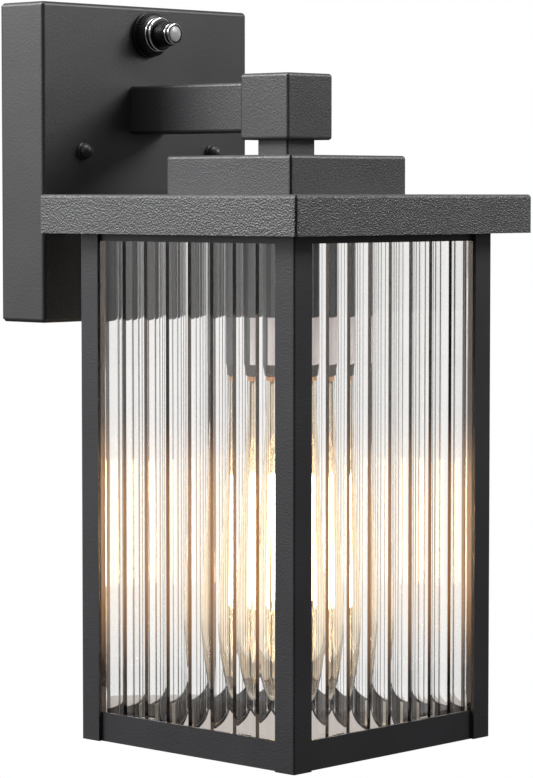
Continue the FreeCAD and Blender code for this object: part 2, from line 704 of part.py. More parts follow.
def draw_mitred_bar(sketch):
    """The plan of one side of the frame, mitred at both ends."""
    draw_loop(sketch, [(-5, -5), (5, -5), (4, -4), (-4, -4)])
    sketch.addConstraint(Sketcher.Constraint("Symmetric", 0, 1, 0, 2, -2))
    sketch.addConstraint(Sketcher.Constraint("Symmetric", 2, 1, 2, 2, -2))
    constrain(sketch, "outer", "2 * rail_face", "DistanceX", 0, 1, 0, 2)
    constrain(sketch, "inner", "2 * (rail_face - rail_band)", "DistanceX", 2, 2, 2, 1)
    constrain(sketch, "face", "rail_face", "DistanceY", 0, 1, -1, 1)
    constrain(sketch, "band", "rail_band", "DistanceY", 0, 1, 2, 1)


def make_rail(quarter, level, low, rise, hollow_low):
    """An angle-section rail: an upright face with a flat flange at its top or bottom."""
    name = f"{level}_rail_{SIDES[quarter]}"
    body = new_body(f"{name}_body")
    turn_to(body, quarter, low)
    plan = sketch_on(body, "XY_Plane", "plan")
    draw_mitred_bar(plan)
    pad(body, plan, rise)
    middle = "-(rail_face - rail_wall - rail_band / 2)"
    hollow = sketch_on(body, "XY_Plane", "hollow", ("0", middle, hollow_low))
    draw_rectangle(hollow, "2 * rail_face", "rail_band")
    pocket(body, hollow, f"{rise} - rail_wall", along_normal=True)
    return node(name, body)


def make_cage_plate():
    """The square plate at the cage's top, under the roof."""
    plate = centred_block("cage_plate_blank", "2 * rail_face", "rail_wall", "cage_ceiling")
    bore = cylinder("cage_plate_bore", "nipple_radius + thread_gap", "rail_wall", (*LAMP, "cage_ceiling"))
    return node("cage_top_plate", cut("cage_top_plate_body", plate, [bore]))


def make_pane(quarter):
    """A glass pane with upright hollow flutes on its outer face."""
    name = f"glass_pane_{SIDES[quarter]}"
    body = new_body(f"{name}_body")
    turn_to(body, quarter, "pane_low")
    slab = sketch_on(body, "XY_Plane", "slab", ("0", "-(pane_face + pane_back) / 2", "0"))
    draw_rectangle(slab, "2 * (pane_back - pane_corner_gap)", "pane_thick")
    pad(body, slab, "pane_rise")
    flute = sketch_on(body, "XY_Plane", "flute")
    draw_circle(flute, "_flute", "flute_radius", "-flute_pitch * (flute_count - 1) / 2",
                "-(pane_face + flute_radius - flute_depth)")
    groove = pocket(body, flute, "pane_rise", along_normal=True)
    row = body.newObject("PartDesign::LinearPattern", f"{name}_flutes")
    row.Originals = [groove]
    axis = next(f for f in body.Origin.OriginFeatures if f.Role == "X_Axis")
    row.Direction = (axis, [""])
    bind(row, "Length", "flute_pitch * (flute_count - 1)")
    bind(row, "Occurrences", "flute_count")
    body.Tip = row
    doc.recompute()
    return node(name, body)


def make_clips():
    """Two spring clips behind each pane, on the bottom rail's flange."""
    clips = []
    for quarter, side in enumerate(SIDES):
        pair = []
        for tag, across in (("a", "-clip_offset"), ("b", "clip_offset")):
            foot = block(f"clip_foot_{side}_{tag}", ("clip_width", "clip_foot", "clip_wall"),
                         (f"{across} - clip_width / 2", "-pane_back + thread_gap", "pane_low"))
            finger = block(f"clip_finger_{side}_{tag}", ("clip_width", "clip_wall", "clip_rise"),
                           (f"{across} - clip_width / 2", "-pane_back + thread_gap", "pane_low"))
            pair.append(fuse(f"clip_{side}_{tag}", [foot, finger]))
        both = group(f"clips_{side}", pair)
        both.Placement.Rotation = FreeCAD.Rotation(FreeCAD.Vector(0, 0, 1), 90 * quarter)
        bind_base(both, (*LAMP, "0"))
        clips.append(both)
    return node("glass_clips", group("glass_clips_group", clips))


# ---- Lampholder ----

def make_sleeve():
    """The metal cup that hides the lampholder's upper part."""
    wall = cylinder("sleeve_outside", "sleeve_width / 2", "sleeve_length", (*LAMP, "sleeve_low"))
    hollow = cylinder("sleeve_inside", "sleeve_width / 2 - sleeve_wall", "sleeve_length - sleeve_wall",
                      (*LAMP, "sleeve_low"))
    bore = cylinder("sleeve_bore", "nipple_radius + thread_gap", "sleeve_length", (*LAMP, "sleeve_low"))
    return node("socket_sleeve", cut("socket_sleeve_body", wall, [hollow, bore]))


def bracket_screw_places():
    return (("left", "-bracket_screw_offset"), ("right", "bracket_screw_offset"))


def make_bracket():
    """The disc that joins the nipple's lower end to the lampholder."""
    disc = cylinder("bracket_disc", "bracket_width / 2", "bracket_thick", (*LAMP, "bracket_low"))
    tools = [cylinder("bracket_bore", "nipple_radius + thread_gap", "bracket_thick", (*LAMP, "bracket_low"))]
    for tag, across in bracket_screw_places():
        tools.append(cylinder(f"bracket_hole_{tag}", "bracket_screw / 2 + hole_gap", "bracket_thick",
                              (across, "-lamp_reach", "bracket_low")))
    return node("socket_bracket", cut("socket_bracket_body", disc, tools))


def make_holder():
    """The lampholder: a narrow upper part in the sleeve and a full-width lower part."""
    upper = cylinder("holder_upper", "sleeve_width / 2 - sleeve_wall - hole_gap",
                     "holder_high - sleeve_low", (*LAMP, "sleeve_low"))
    body = new_body("holder_lower_body")
    bind_base(body, (*LAMP, "holder_low"))
    outline = sketch_on(body, "XY_Plane", "outline")
    draw_circle(outline, "_rim", "sleeve_width / 2")
    pad(body, outline, "holder_show")
    round_edges(body, "holder_edge", lambda edge: edge.BoundBox.ZMax < 0.01)
    tools = [cylinder("holder_bore", "shell_radius + shell_wall", "bore_high - holder_low",
                      (*LAMP, "holder_low")),
             cylinder("holder_wire_way", "nipple_bore / 2", "holder_high - bore_high",
                      (*LAMP, "bore_high"))]
    for tag, across in bracket_screw_places():
        tools.append(cylinder(f"holder_hole_{tag}", "bracket_screw / 2 + thread_gap", "bracket_screw_length",
                              (across, "-lamp_reach", "holder_high - bracket_screw_length")))
    return node("lampholder", cut("lampholder_body", fuse("lampholder_outside", [upper, body]), tools))


def make_bracket_screws():
    """The two screws that hold the lampholder to its bracket."""
    screws = []
    for tag, across in bracket_screw_places():
        shank = cylinder(f"bracket_shank_{tag}", "bracket_screw / 2",
                         "bracket_thick + bracket_screw_length",
                         (across, "-lamp_reach", "bracket_low - bracket_screw_length"))
        head = cylinder(f"bracket_head_{tag}", "head_wide * bracket_screw", "head_rise * bracket_screw",
                        (across, "-lamp_reach", "bracket_low + bracket_thick"))
        screws.append(fuse(f"bracket_screw_{tag}", [shank, head]))
    return node("socket_screws", group("socket_screws_group", screws))


def make_shell():
    """The lampholder's screw shell."""
    return node("socket_shell", tube("socket_shell_body", "shell_radius + shell_wall", "shell_radius",
                                     "base_high - holder_low", (*LAMP, "holder_low")))


def make_contact():
    """The lampholder's centre contact, above the bulb's eyelet."""
    return node("socket_contact", tube("socket_contact_body", "shell_radius", "nipple_bore / 4",
                                       "shell_wall", (*LAMP, "bore_high - shell_wall")))


# ---- Bulb ----

def make_base():
    """The bulb's screw base: a thin cup."""
    return node("bulb_base", tube("bulb_base_body", "base_radius", "base_radius - base_wall",
                                  "base_length", (*LAMP, "bulb_high")))


def make_insulator():
    """The insulator that closes the base's top."""
    disc = cylinder("insulator_disc", "base_radius - base_wall", "base_wall",
                    (*LAMP, "base_high - base_wall"))
    nose = cone("insulator_nose", "insulator_radius", "eyelet_radius", "insulator_rise",
                (*LAMP, "base_high"))
    return node("bulb_insulator", fuse("bulb_insulator_body", [disc, nose]))


def make_eyelet():
    """The bulb's centre contact."""
    return node("bulb_eyelet", cylinder("bulb_eyelet_body", "eyelet_radius", "eyelet_rise",
                                        (*LAMP, "base_high + insulator_rise")))


def bulb_outline(shrink):
    """The bulb's profile at a distance inside its outer face: a neck, a taper and a ball."""
    radius = value("bulb_radius") - shrink
    neck = value("neck_radius") - shrink
    top = value("bulb_high + neck_tuck")
    centre = value("bulb_high - bulb_length + bulb_radius")
    taper = math.radians(value("taper_angle"))
    shoulder = centre + radius * math.sin(taper)
    wide = radius * math.cos(taper)
    waist = shoulder + (wide - neck) / math.tan(taper)
    middle = (taper - math.pi / 2) / 2
    reach = value("lamp_reach")

    def point(across, level):
        return FreeCAD.Vector(across, -reach, level)
    ball = Part.Arc(point(wide, shoulder),
                    point(radius * math.cos(middle), centre + radius * math.sin(middle)),
                    point(0, centre - radius))
    lines = [
        Part.LineSegment(point(0, centre - radius), point(0, top)),
        Part.LineSegment(point(0, top), point(neck, top)),
        Part.LineSegment(point(neck, top), point(neck, waist)),
        Part.LineSegment(point(neck, waist), point(wide, shoulder)),
    ]
    face = Part.Face(Part.Wire([line.toShape() for line in lines] + [ball.toShape()]))
    return face.revolve(point(0, 0), FreeCAD.Vector(0, 0, 1), 360)


def make_bulb_glass():
    """The blown glass: one smooth profile turned about the lamp's axis, open at its neck."""
    glass = doc.addObject("Part::Feature", "bulb_glass_body")
    glass.Shape = bulb_outline(0).cut(bulb_outline(value("bulb_wall")))
    return node("bulb_glass", glass)


def make_stem():
    """The glass stem that carries the filaments, and the flare that seals it to the neck."""
    flare = cylinder("stem_flare", "neck_radius - bulb_wall", "flare_thick",
                     (*LAMP, "bulb_high + neck_tuck - flare_thick"))
    rod = cylinder("stem_rod", "stem_radius", "stem_length + neck_tuck - flare_thick",
                   (*LAMP, "bulb_high - stem_length"))
    return node("bulb_stem", fuse("bulb_stem_body", [flare, rod]))


def make_filaments():
    """Upright lit strips in a ring round the axis."""
    strips = []
    count = int(value("filament_count"))
    for i in range(count):
        turn = 360 * (i + 0.5) / count
        strips.append(cylinder(
            f"filament_{i + 1}", "filament_radius", "filament_length",
            (f"filament_ring * cos({turn})", f"-lamp_reach + filament_ring * sin({turn})",
             "bulb_high - filament_top - filament_length")))
    return node("bulb_filaments", group("bulb_filaments_group", strips))


def make_supports():
    """The wires that hold the filaments: a centre rod with a spoked ring at each end of the strips."""
    top = "bulb_high - filament_top"
    low = "bulb_high - filament_top - filament_length - 2 * wire_radius"
    pieces = [cylinder("support_rod", "2 * wire_radius",
                       "filament_top + filament_length + 2 * wire_radius - stem_length", (*LAMP, low))]
    for tag, level in (("top", top), ("low", low)):
        pieces.append(cylinder(f"support_disc_{tag}", "filament_ring + filament_radius", "2 * wire_radius",
                               (*LAMP, level)))
    return node("bulb_supports", fuse("bulb_supports_body", pieces))


# ---- Light sensor ----

def outward(name, radius, length, start, bore=None):
    """A round sensor piece in front of the plate, with an optional bore."""
    place = ("0", f"-front_depth - ({start})", "sensor_level")
    if bore is None:
        return cylinder(name, radius, length, place, OUT)
    return tube(name, radius, bore, length, place, OUT)


def make_sensor():
    """The light sensor in the plate's front: barrel, collar, ring, bezel, lens, cell and lock nut."""
    barrel = outward("sensor_barrel_body", "barrel_radius", "barrel_length + barrel_tail",
                     "-barrel_tail", "barrel_bore")
    node("sensor_barrel", barrel)
    collar = cone("collar_cone", "collar_radius", "collar_nose", "collar_length",
                  ("0", "-front_depth", "sensor_level"), OUT)
    collar_bore = outward("collar_bore", "barrel_radius + thread_gap", "collar_length", "0")
    node("sensor_collar", cut("sensor_collar_body", collar, [collar_bore]))
    node("sensor_ring", outward("sensor_ring_body", "ring_radius", "ring_length", "collar_length",
                                "barrel_radius + thread_gap"))
    node("sensor_bezel", outward("sensor_bezel_body", "bezel_radius", "bezel_length", "barrel_length",
                                 "lens_radius"))
    node("sensor_lens", outward("sensor_lens_body", "lens_radius", "lens_length",
                                "barrel_length + bezel_length - lens_length + lens_proud"))
    node("photocell", outward("photocell_body", "barrel_bore - thread_gap", "cell_length",
                              "barrel_length - 2 * lens_length"))
    node("sensor_lock_nut", nut("sensor_lock_nut_body", "3 * barrel_radius", "barrel_radius + thread_gap",
                                "lock_nut_thick", ("0", "-skin_depth + lock_nut_thick", "sensor_level"),
                                OUT))


def build():
    make_canopy()
    make_gasket()
    make_box_strap()
    make_cross_strap()
    make_strap_rivet()
    make_ground_screw()
    make_studs()
    make_lock_nuts()
    make_cap_nuts()
    make_arm()
    make_arm_plug()
    make_arm_screws()
    make_wire_bush()
    make_cube()
    make_neck()
    make_pan("upper_cap", "tier_side", "tier_rise", "roof_high")
    make_pan("roof", "roof_side", "roof_rise", "roof_low")
    make_nipple()
    make_nipple_nuts()
    for quarter in range(4):
        make_post(quarter)
        make_rail(quarter, "top", "cage_ceiling - top_rail_rise", "top_rail_rise", "0")
        make_rail(quarter, "bottom", "cage_low", "rail_rise", "rail_wall")
        make_pane(quarter)
    make_cage_plate()
    make_clips()
    make_sleeve()
    make_bracket()
    make_holder()
    make_bracket_screws()
    make_shell()
    make_contact()
    make_base()
    make_insulator()
    make_eyelet()
    make_bulb_glass()
    make_stem()
    make_filaments()
    make_supports()
    make_sensor()


def check():
    """Stop if any object failed or any sub-part is empty or broken."""
    doc.recompute()
    for thing in doc.Objects:
        if "Invalid" in thing.State or "Error" in thing.State:
            raise RuntimeError(f"{thing.Name} failed: {thing.State}")
    for name, thing in NODES.items():
        shape = thing.Shape
        if shape.isNull() or not shape.isValid():
            raise RuntimeError(f"{name} has no valid shape")


def export():
    os.makedirs("parts", exist_ok=True)
    for name, thing in NODES.items():
        thing.Shape.exportStep(f"parts/{name}.step")
        print(f"{name}: {len(thing.Shape.Solids)} solid(s), {thing.Shape.Volume:.1f} mm3")


sheet = make_sheet()
build()
check()
export()
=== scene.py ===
import math
import bpy
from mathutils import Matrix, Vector


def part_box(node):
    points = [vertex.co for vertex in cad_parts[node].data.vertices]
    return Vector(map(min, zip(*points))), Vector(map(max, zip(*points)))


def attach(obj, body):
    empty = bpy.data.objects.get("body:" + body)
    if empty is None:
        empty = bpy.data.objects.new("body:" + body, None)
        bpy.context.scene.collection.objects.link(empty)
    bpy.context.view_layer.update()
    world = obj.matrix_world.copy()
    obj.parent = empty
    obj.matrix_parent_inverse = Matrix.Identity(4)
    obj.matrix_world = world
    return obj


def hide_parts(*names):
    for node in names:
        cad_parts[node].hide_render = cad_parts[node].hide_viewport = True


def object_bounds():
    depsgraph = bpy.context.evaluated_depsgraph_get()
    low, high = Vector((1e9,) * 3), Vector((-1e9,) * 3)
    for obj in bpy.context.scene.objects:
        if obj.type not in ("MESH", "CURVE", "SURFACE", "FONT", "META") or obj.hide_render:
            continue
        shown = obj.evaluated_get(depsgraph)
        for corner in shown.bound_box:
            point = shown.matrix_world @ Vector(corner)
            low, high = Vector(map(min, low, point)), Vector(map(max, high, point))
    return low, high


# Outdoor wall lantern, in metres. The CAD model gives every place and size.

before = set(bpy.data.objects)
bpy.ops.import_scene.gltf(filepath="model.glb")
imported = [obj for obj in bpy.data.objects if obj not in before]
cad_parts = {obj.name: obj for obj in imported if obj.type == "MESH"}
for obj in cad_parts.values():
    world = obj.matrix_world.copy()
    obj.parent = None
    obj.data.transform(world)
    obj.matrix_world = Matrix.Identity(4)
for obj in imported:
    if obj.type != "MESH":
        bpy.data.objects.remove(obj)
cadLow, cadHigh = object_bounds()
mm = 0.001
weld = 0.001 * mm  # points closer than this are merged
sides = ("front", "right", "rear", "left")
corners = ("front_right", "rear_right", "rear_left", "front_left")


def nodeBox(node):
    low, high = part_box(node)
    return Vector(low), Vector(high)


bulbLow, bulbHigh = nodeBox("bulb_glass")
holderLow, holderHigh = nodeBox("lampholder")
lampAxis = Vector(((holderLow.x + holderHigh.x) / 2, (holderLow.y + holderHigh.y) / 2, 0.0))


# modelling helpers

def clearSelection():
    bpy.ops.object.select_all(action="DESELECT")


def editOn():
    bpy.ops.object.mode_set(mode="EDIT")


def editOff():
    bpy.ops.object.mode_set(mode="OBJECT")


def makeActive(piece):
    clearSelection()
    piece.select_set(True)
    bpy.context.view_layer.objects.active = piece


def settle(piece, name):
    piece.name = name
    piece.data.name = name
    bpy.ops.object.transform_apply(location=True, rotation=True, scale=True)
    return piece


def drawOutline(points):
    # one vertex, extruded from point to point; points are (x, y, z) in metres
    clearSelection()
    bpy.ops.mesh.primitive_plane_add(size=mm, location=(0, 0, 0))
    editOn()
    bpy.ops.mesh.select_mode(type="VERT")
    bpy.ops.mesh.merge(type="CENTER")
    bpy.ops.transform.translate(value=points[0])
    for before, after in zip(points, points[1:]):
        step = Vector(after) - Vector(before)
        bpy.ops.mesh.extrude_region_move(TRANSFORM_OT_translate={"value": step})
    editOff()
    return bpy.context.object


def selectAllIn(piece):
    editOn()
    bpy.ops.mesh.select_mode(type="VERT")
    bpy.ops.mesh.select_all(action="SELECT")


def weldPoints():
    # merges doubles, then turns every face outwards
    bpy.ops.mesh.select_all(action="SELECT")
    bpy.ops.mesh.remove_doubles(threshold=weld)
    bpy.ops.mesh.normals_make_consistent(inside=False)


def smoothBelow(angle):
    bpy.ops.object.shade_smooth_by_angle(angle=math.radians(angle))


def spinOutline(name, outline, steps, smooth=40, centre=None):
    # outline is (radius, height) pairs in metres, turned about the upright axis through centre
    centre = lampAxis if centre is None else centre
    piece = drawOutline([(centre.x + radius, centre.y, height) for radius, height in outline])
    selectAllIn(piece)
    bpy.ops.mesh.spin(steps=steps, angle=math.tau, center=(centre.x, centre.y, 0), axis=(0, 0, 1))
    weldPoints()
    editOff()
    smoothBelow(smooth)
    return settle(piece, name)


def arcPoints(centre, radius, start, end, count):
    # points of an arc in a profile, angles in degrees from the outward direction
    points = []
    for i in range(count + 1):
        angle = math.radians(start + (end - start) * i / count)
        points.append((centre[0] + radius * math.cos(angle), centre[1] + radius * math.sin(angle)))
    return points


def turnPiece(piece, angle, axis, centre):
    # rotate turns the other way without a window, so it gets the angle's opposite
    makeActive(piece)
    selectAllIn(piece)
    bpy.ops.transform.rotate(value=-angle, orient_axis=axis, orient_type="GLOBAL", center_override=centre)
    editOff()


def movePiece(piece, step):
    makeActive(piece)
    selectAllIn(piece)
    bpy.ops.transform.translate(value=step)
    editOff()


def copyPiece(piece, name):
    makeActive(piece)
    bpy.ops.object.duplicate(linked=False)
    twin = bpy.context.object
    twin.name = name
    twin.data.name = name
    return twin


def joinPieces(pieces, name):
    makeActive(pieces[0])
    for piece in pieces[1:]:
        piece.select_set(True)
    bpy.ops.object.join()
    return settle(bpy.context.object, name)


def roundAxis(first, count, name):
    # copies of one piece, turned evenly about the lamp axis, joined as one
    ring = [first]
    for i in range(1, count):
        twin = copyPiece(first, f"{name}{i}")
        turnPiece(twin, math.tau * i / count, "Z", lampAxis)
        ring.append(twin)
    return joinPieces(ring, name)


# material helpers

def newGroup(name, inputs, outputs):
    group = bpy.data.node_groups.new(name, "ShaderNodeTree")
    for label, kind, value in inputs:
        socket = group.interface.new_socket(name=label, in_out="INPUT", socket_type=kind)
        socket.default_value = value
    for label, kind in outputs:
        group.interface.new_socket(name=label, in_out="OUTPUT", socket_type=kind)
    return group, group.nodes.new("NodeGroupInput"), group.nodes.new("NodeGroupOutput")


def addNode(tree, kind, settings=None, **values):
    node = tree.nodes.new(kind)
    for key, value in (settings or {}).items():
        setattr(node, key, value)
    for key, value in values.items():
        node.inputs[key.replace("_", " ")].default_value = value
    return node


def makePowderCoat():
    # sprayed and baked coat: pebbled grain and slow mottling
    group, start, end = newGroup("powderCoat", [
        ("Dark", "NodeSocketColor", (0.02, 0.02, 0.022, 1)),
        ("Light", "NodeSocketColor", (0.04, 0.04, 0.042, 1)),
        ("Grain", "NodeSocketFloat", 900.0),
        ("Depth", "NodeSocketFloat", 0.3),
        ("Smooth", "NodeSocketFloat", 0.42),
        ("Rough", "NodeSocketFloat", 0.62),
    ], [("Color", "NodeSocketColor"), ("Roughness", "NodeSocketFloat"), ("Normal", "NodeSocketVector")])
    place = addNode(group, "ShaderNodeTexCoord")
    link = group.links.new
    pebbles = addNode(group, "ShaderNodeTexVoronoi", {"feature": "SMOOTH_F1"}, Smoothness=0.6)
    fine = addNode(group, "ShaderNodeTexNoise", Detail=3.0, Roughness=0.6)
    mottle = addNode(group, "ShaderNodeTexNoise", Scale=38.0, Detail=3.0)
    link(place.outputs["Object"], pebbles.inputs["Vector"])
    link(place.outputs["Object"], fine.inputs["Vector"])
    link(place.outputs["Object"], mottle.inputs["Vector"])
    link(start.outputs["Grain"], pebbles.inputs["Scale"])
    link(start.outputs["Grain"], fine.inputs["Scale"])
    grain = addNode(group, "ShaderNodeMath", {"operation": "MULTIPLY_ADD"})
    grain.inputs[1].default_value = 0.6
    link(fine.outputs["Fac"], grain.inputs[0])
    link(pebbles.outputs["Distance"], grain.inputs[2])
    bump = addNode(group, "ShaderNodeBump", Distance=0.6 * mm)
    link(start.outputs["Depth"], bump.inputs["Strength"])
    link(grain.outputs[0], bump.inputs["Height"])
    tone = addNode(group, "ShaderNodeMix", {"data_type": "RGBA"})
    link(mottle.outputs["Fac"], tone.inputs[0])
    link(start.outputs["Dark"], tone.inputs[6])
    link(start.outputs["Light"], tone.inputs[7])
    gloss = addNode(group, "ShaderNodeMix", {"data_type": "FLOAT"})
    link(mottle.outputs["Fac"], gloss.inputs[0])
    link(start.outputs["Smooth"], gloss.inputs[2])
    link(start.outputs["Rough"], gloss.inputs[3])
    link(tone.outputs[2], end.inputs["Color"])
    link(gloss.outputs[0], end.inputs["Roughness"])
    link(bump.outputs["Normal"], end.inputs["Normal"])
    return group


def makeFineWear():
    # faint scratches and smudges for bare metal and moulded plastic
    group, start, end = newGroup("fineWear", [
        ("Tint", "NodeSocketColor", (0.6, 0.6, 0.6, 1)),
        ("Shade", "NodeSocketColor", (0.4, 0.4, 0.4, 1)),
        ("Scale", "NodeSocketFloat", 300.0),
        ("Smooth", "NodeSocketFloat", 0.25),
        ("Rough", "NodeSocketFloat", 0.45),
        ("Depth", "NodeSocketFloat", 0.1),
    ], [("Color", "NodeSocketColor"), ("Roughness", "NodeSocketFloat"), ("Normal", "NodeSocketVector")])
    place = addNode(group, "ShaderNodeTexCoord")
    link = group.links.new
    spots = addNode(group, "ShaderNodeTexNoise", Detail=4.0, Roughness=0.65)
    link(place.outputs["Object"], spots.inputs["Vector"])
    link(start.outputs["Scale"], spots.inputs["Scale"])
    tone = addNode(group, "ShaderNodeMix", {"data_type": "RGBA"})
    link(spots.outputs["Fac"], tone.inputs[0])
    link(start.outputs["Shade"], tone.inputs[6])
    link(start.outputs["Tint"], tone.inputs[7])
    gloss = addNode(group, "ShaderNodeMix", {"data_type": "FLOAT"})
    link(spots.outputs["Fac"], gloss.inputs[0])
    link(start.outputs["Smooth"], gloss.inputs[2])
    link(start.outputs["Rough"], gloss.inputs[3])
    bump = addNode(group, "ShaderNodeBump", Distance=0.3 * mm)
    link(start.outputs["Depth"], bump.inputs["Strength"])
    link(spots.outputs["Fac"], bump.inputs["Height"])
    link(tone.outputs[2], end.inputs["Color"])
    link(gloss.outputs[0], end.inputs["Roughness"])
    link(bump.outputs["Normal"], end.inputs["Normal"])
    return group


powderCoat = makePowderCoat()
fineWear = makeFineWear()


def newMaterial(name):
    material = bpy.data.materials.new(name)
    material.use_nodes = True
    shader = material.node_tree.nodes["Principled BSDF"]
    return material, material.node_tree, shader


def surfaceMaterial(name, group, values, **shaderValues):
    # a material whose colour, roughness and normal come from one of the groups
    material, tree, shader = newMaterial(name)
    effect = tree.nodes.new("ShaderNodeGroup")
    effect.node_tree = group
    for key, value in values.items():
        effect.inputs[key].default_value = value
    for output, target in (("Color", "Base Color"), ("Roughness", "Roughness"), ("Normal", "Normal")):
        tree.links.new(effect.outputs[output], shader.inputs[target])
    for key, value in shaderValues.items():
        shader.inputs[key.replace("_", " ")].default_value = value
    return material


def glassMaterial(name, values):
    # clear glass that lets lamp light through, with a very slight ripple
    material, tree, shader = newMaterial(name)
    shader.inputs["Base Color"].default_value = values["tint"]
    shader.inputs["Roughness"].default_value = values["rough"]
    shader.inputs["IOR"].default_value = values["ior"]
    shader.inputs["Transmission Weight"].default_value = 1.0
    place = addNode(tree, "ShaderNodeTexCoord")
    stretch = addNode(tree, "ShaderNodeMapping")
    stretch.inputs["Scale"].default_value = (1.0, 1.0, 0.12)
    waves = addNode(tree, "ShaderNodeTexNoise", Scale=values["scale"], Detail=2.0)
    bump = addNode(tree, "ShaderNodeBump", Distance=0.4 * mm, Strength=values["ripple"])
    tree.links.new(place.outputs["Object"], stretch.inputs["Vector"])
    tree.links.new(stretch.outputs["Vector"], waves.inputs["Vector"])
    tree.links.new(waves.outputs["Fac"], bump.inputs["Height"])
    tree.links.new(bump.outputs["Normal"], shader.inputs["Normal"])
    clear = addNode(tree, "ShaderNodeBsdfTransparent")
    clear.inputs["Color"].default_value = values["tint"]
    path = addNode(tree, "ShaderNodeLightPath")
    mix = addNode(tree, "ShaderNodeMixShader")
    tree.links.new(path.outputs["Is Shadow Ray"], mix.inputs[0])
    tree.links.new(shader.outputs[0], mix.inputs[1])
    tree.links.new(clear.outputs[0], mix.inputs[2])
    tree.links.new(mix.outputs[0], tree.nodes["Material Output"].inputs["Surface"])
    return material


# one black coat in lit and shaded copies: painted lightest on the roof, where the light falls strongest, and
# painted darker on the cast parts and plate and darkest on the cage, where the shade lies; each one's Dark
# and Light are its random mottle
litAndShadedCoatSettings = {
    "Roof": {"Grain": 1700.0, "Depth": 0.45, "Smooth": 0.34, "Rough": 0.46,
             "Dark": (0.035, 0.035, 0.037, 1), "Light": (0.06, 0.06, 0.062, 1)},
    "Cap": {"Grain": 1700.0, "Depth": 0.2, "Smooth": 0.34, "Rough": 0.46,
            "Dark": (0.024, 0.024, 0.026, 1), "Light": (0.04, 0.04, 0.042, 1)},
    "Cast": {"Grain": 1500.0, "Depth": 0.12, "Smooth": 0.34, "Rough": 0.46,
             "Dark": (0.020, 0.020, 0.022, 1), "Light": (0.032, 0.032, 0.034, 1)},
    "Plate": {"Grain": 1500.0, "Depth": 0.07, "Smooth": 0.34, "Rough": 0.44,
              "Dark": (0.014, 0.014, 0.016, 1), "Light": (0.024, 0.024, 0.026, 1)},
    "Cage": {"Grain": 1600.0, "Depth": 0.1, "Smooth": 0.34, "Rough": 0.44,
             "Dark": (0.010, 0.010, 0.012, 1), "Light": (0.018, 0.018, 0.021, 1)},
}
litAndShadedCoats = {}
for coatName, values in litAndShadedCoatSettings.items():
    litAndShadedCoats[coatName] = surfaceMaterial(f"blackCoatLitAndShaded{coatName}", powderCoat, values)

steel = surfaceMaterial("zincSteel", fineWear, {
    "Tint": (0.72, 0.72, 0.7, 1), "Shade": (0.5, 0.5, 0.5, 1)}, Metallic=1.0)
chrome = surfaceMaterial("brightChrome", fineWear, {
    "Tint": (0.9, 0.9, 0.9, 1), "Shade": (0.8, 0.8, 0.8, 1), "Smooth": 0.08, "Rough": 0.16,
    "Depth": 0.02}, Metallic=1.0)
brass = surfaceMaterial("lampBrass", fineWear, {
    "Tint": (0.86, 0.5, 0.26, 1), "Shade": (0.7, 0.36, 0.16, 1), "Smooth": 0.2, "Rough": 0.36},
    Metallic=1.0)
blackPlastic = surfaceMaterial("sensorPlastic", fineWear, {
    "Tint": (0.009, 0.009, 0.009, 1), "Shade": (0.004, 0.004, 0.004, 1), "Smooth": 0.28, "Rough": 0.4,
    "Scale": 900.0, "Depth": 0.15}, Specular_IOR_Level=0.2)
foam = surfaceMaterial("gasketFoam", fineWear, {
    "Tint": (0.03, 0.03, 0.03, 1), "Shade": (0.015, 0.015, 0.015, 1), "Smooth": 0.85, "Rough": 0.95,
    "Scale": 1400.0, "Depth": 0.8})
greenScrew = surfaceMaterial("greenScrew", fineWear, {
    "Tint": (0.05, 0.34, 0.12, 1), "Shade": (0.03, 0.24, 0.08, 1), "Smooth": 0.25, "Rough": 0.4},
    Metallic=0.8)
bushPlastic = surfaceMaterial("bushPlastic", fineWear, {
    "Tint": (0.75, 0.74, 0.7, 1), "Shade": (0.66, 0.65, 0.6, 1), "Smooth": 0.4, "Rough": 0.55})
cellFace = surfaceMaterial("photocellFace", fineWear, {
    "Tint": (0.6, 0.32, 0.2, 1), "Shade": (0.35, 0.16, 0.1, 1), "Scale": 1500.0})
holderDark = surfaceMaterial("holderPlastic", fineWear, {
    "Tint": (0.09, 0.09, 0.092, 1), "Shade": (0.05, 0.05, 0.052, 1), "Smooth": 0.3, "Rough": 0.45,
    "Scale": 500.0, "Depth": 0.12})
labelPaper = surfaceMaterial("plainLabel", fineWear, {
    "Tint": (0.86, 0.82, 0.81, 1), "Shade": (0.52, 0.46, 0.46, 1), "Smooth": 0.5, "Rough": 0.65,
    "Scale": 90.0, "Depth": 0.1})
blackGlaze = surfaceMaterial("insulatorGlass", fineWear, {
    "Tint": (0.02, 0.02, 0.02, 1), "Shade": (0.01, 0.01, 0.01, 1), "Smooth": 0.1, "Rough": 0.2})
lensGrey = surfaceMaterial("sensorLens", fineWear, {
    "Tint": (0.4, 0.41, 0.41, 1), "Shade": (0.24, 0.25, 0.25, 1), "Smooth": 0.2, "Rough": 0.34,
    "Scale": 420.0, "Depth": 0.2})
solder = surfaceMaterial("eyeletSolder", fineWear, {
    "Tint": (0.6, 0.61, 0.62, 1), "Shade": (0.42, 0.43, 0.44, 1), "Smooth": 0.25, "Rough": 0.42,
    "Scale": 700.0, "Depth": 0.25}, Metallic=1.0)
glassSettings = {
    "flutedGlass": {"tint": (0.955, 0.95, 0.945, 1), "rough": 0.0, "ior": 1.5, "ripple": 0.03,
                    "scale": 160.0},
    # the ridges' glass is painted near black, with little reflection, as painted shade for the dark the
    # ridges refract
    "flutedGlassPaintedDarkRidge": {"tint": (0.02, 0.015, 0.012, 1), "rough": 0.1, "ior": 1.14, "ripple": 0.05,
                         "scale": 160.0},
    "bulbClear": {"tint": (1.0, 0.94, 0.84, 1), "rough": 0.0, "ior": 1.45, "ripple": 0.03, "scale": 60.0},
}
paneGlass, paintedDarkRidgeGlass, bulbClear = [glassMaterial(name, values) for name, values in glassSettings.items()]
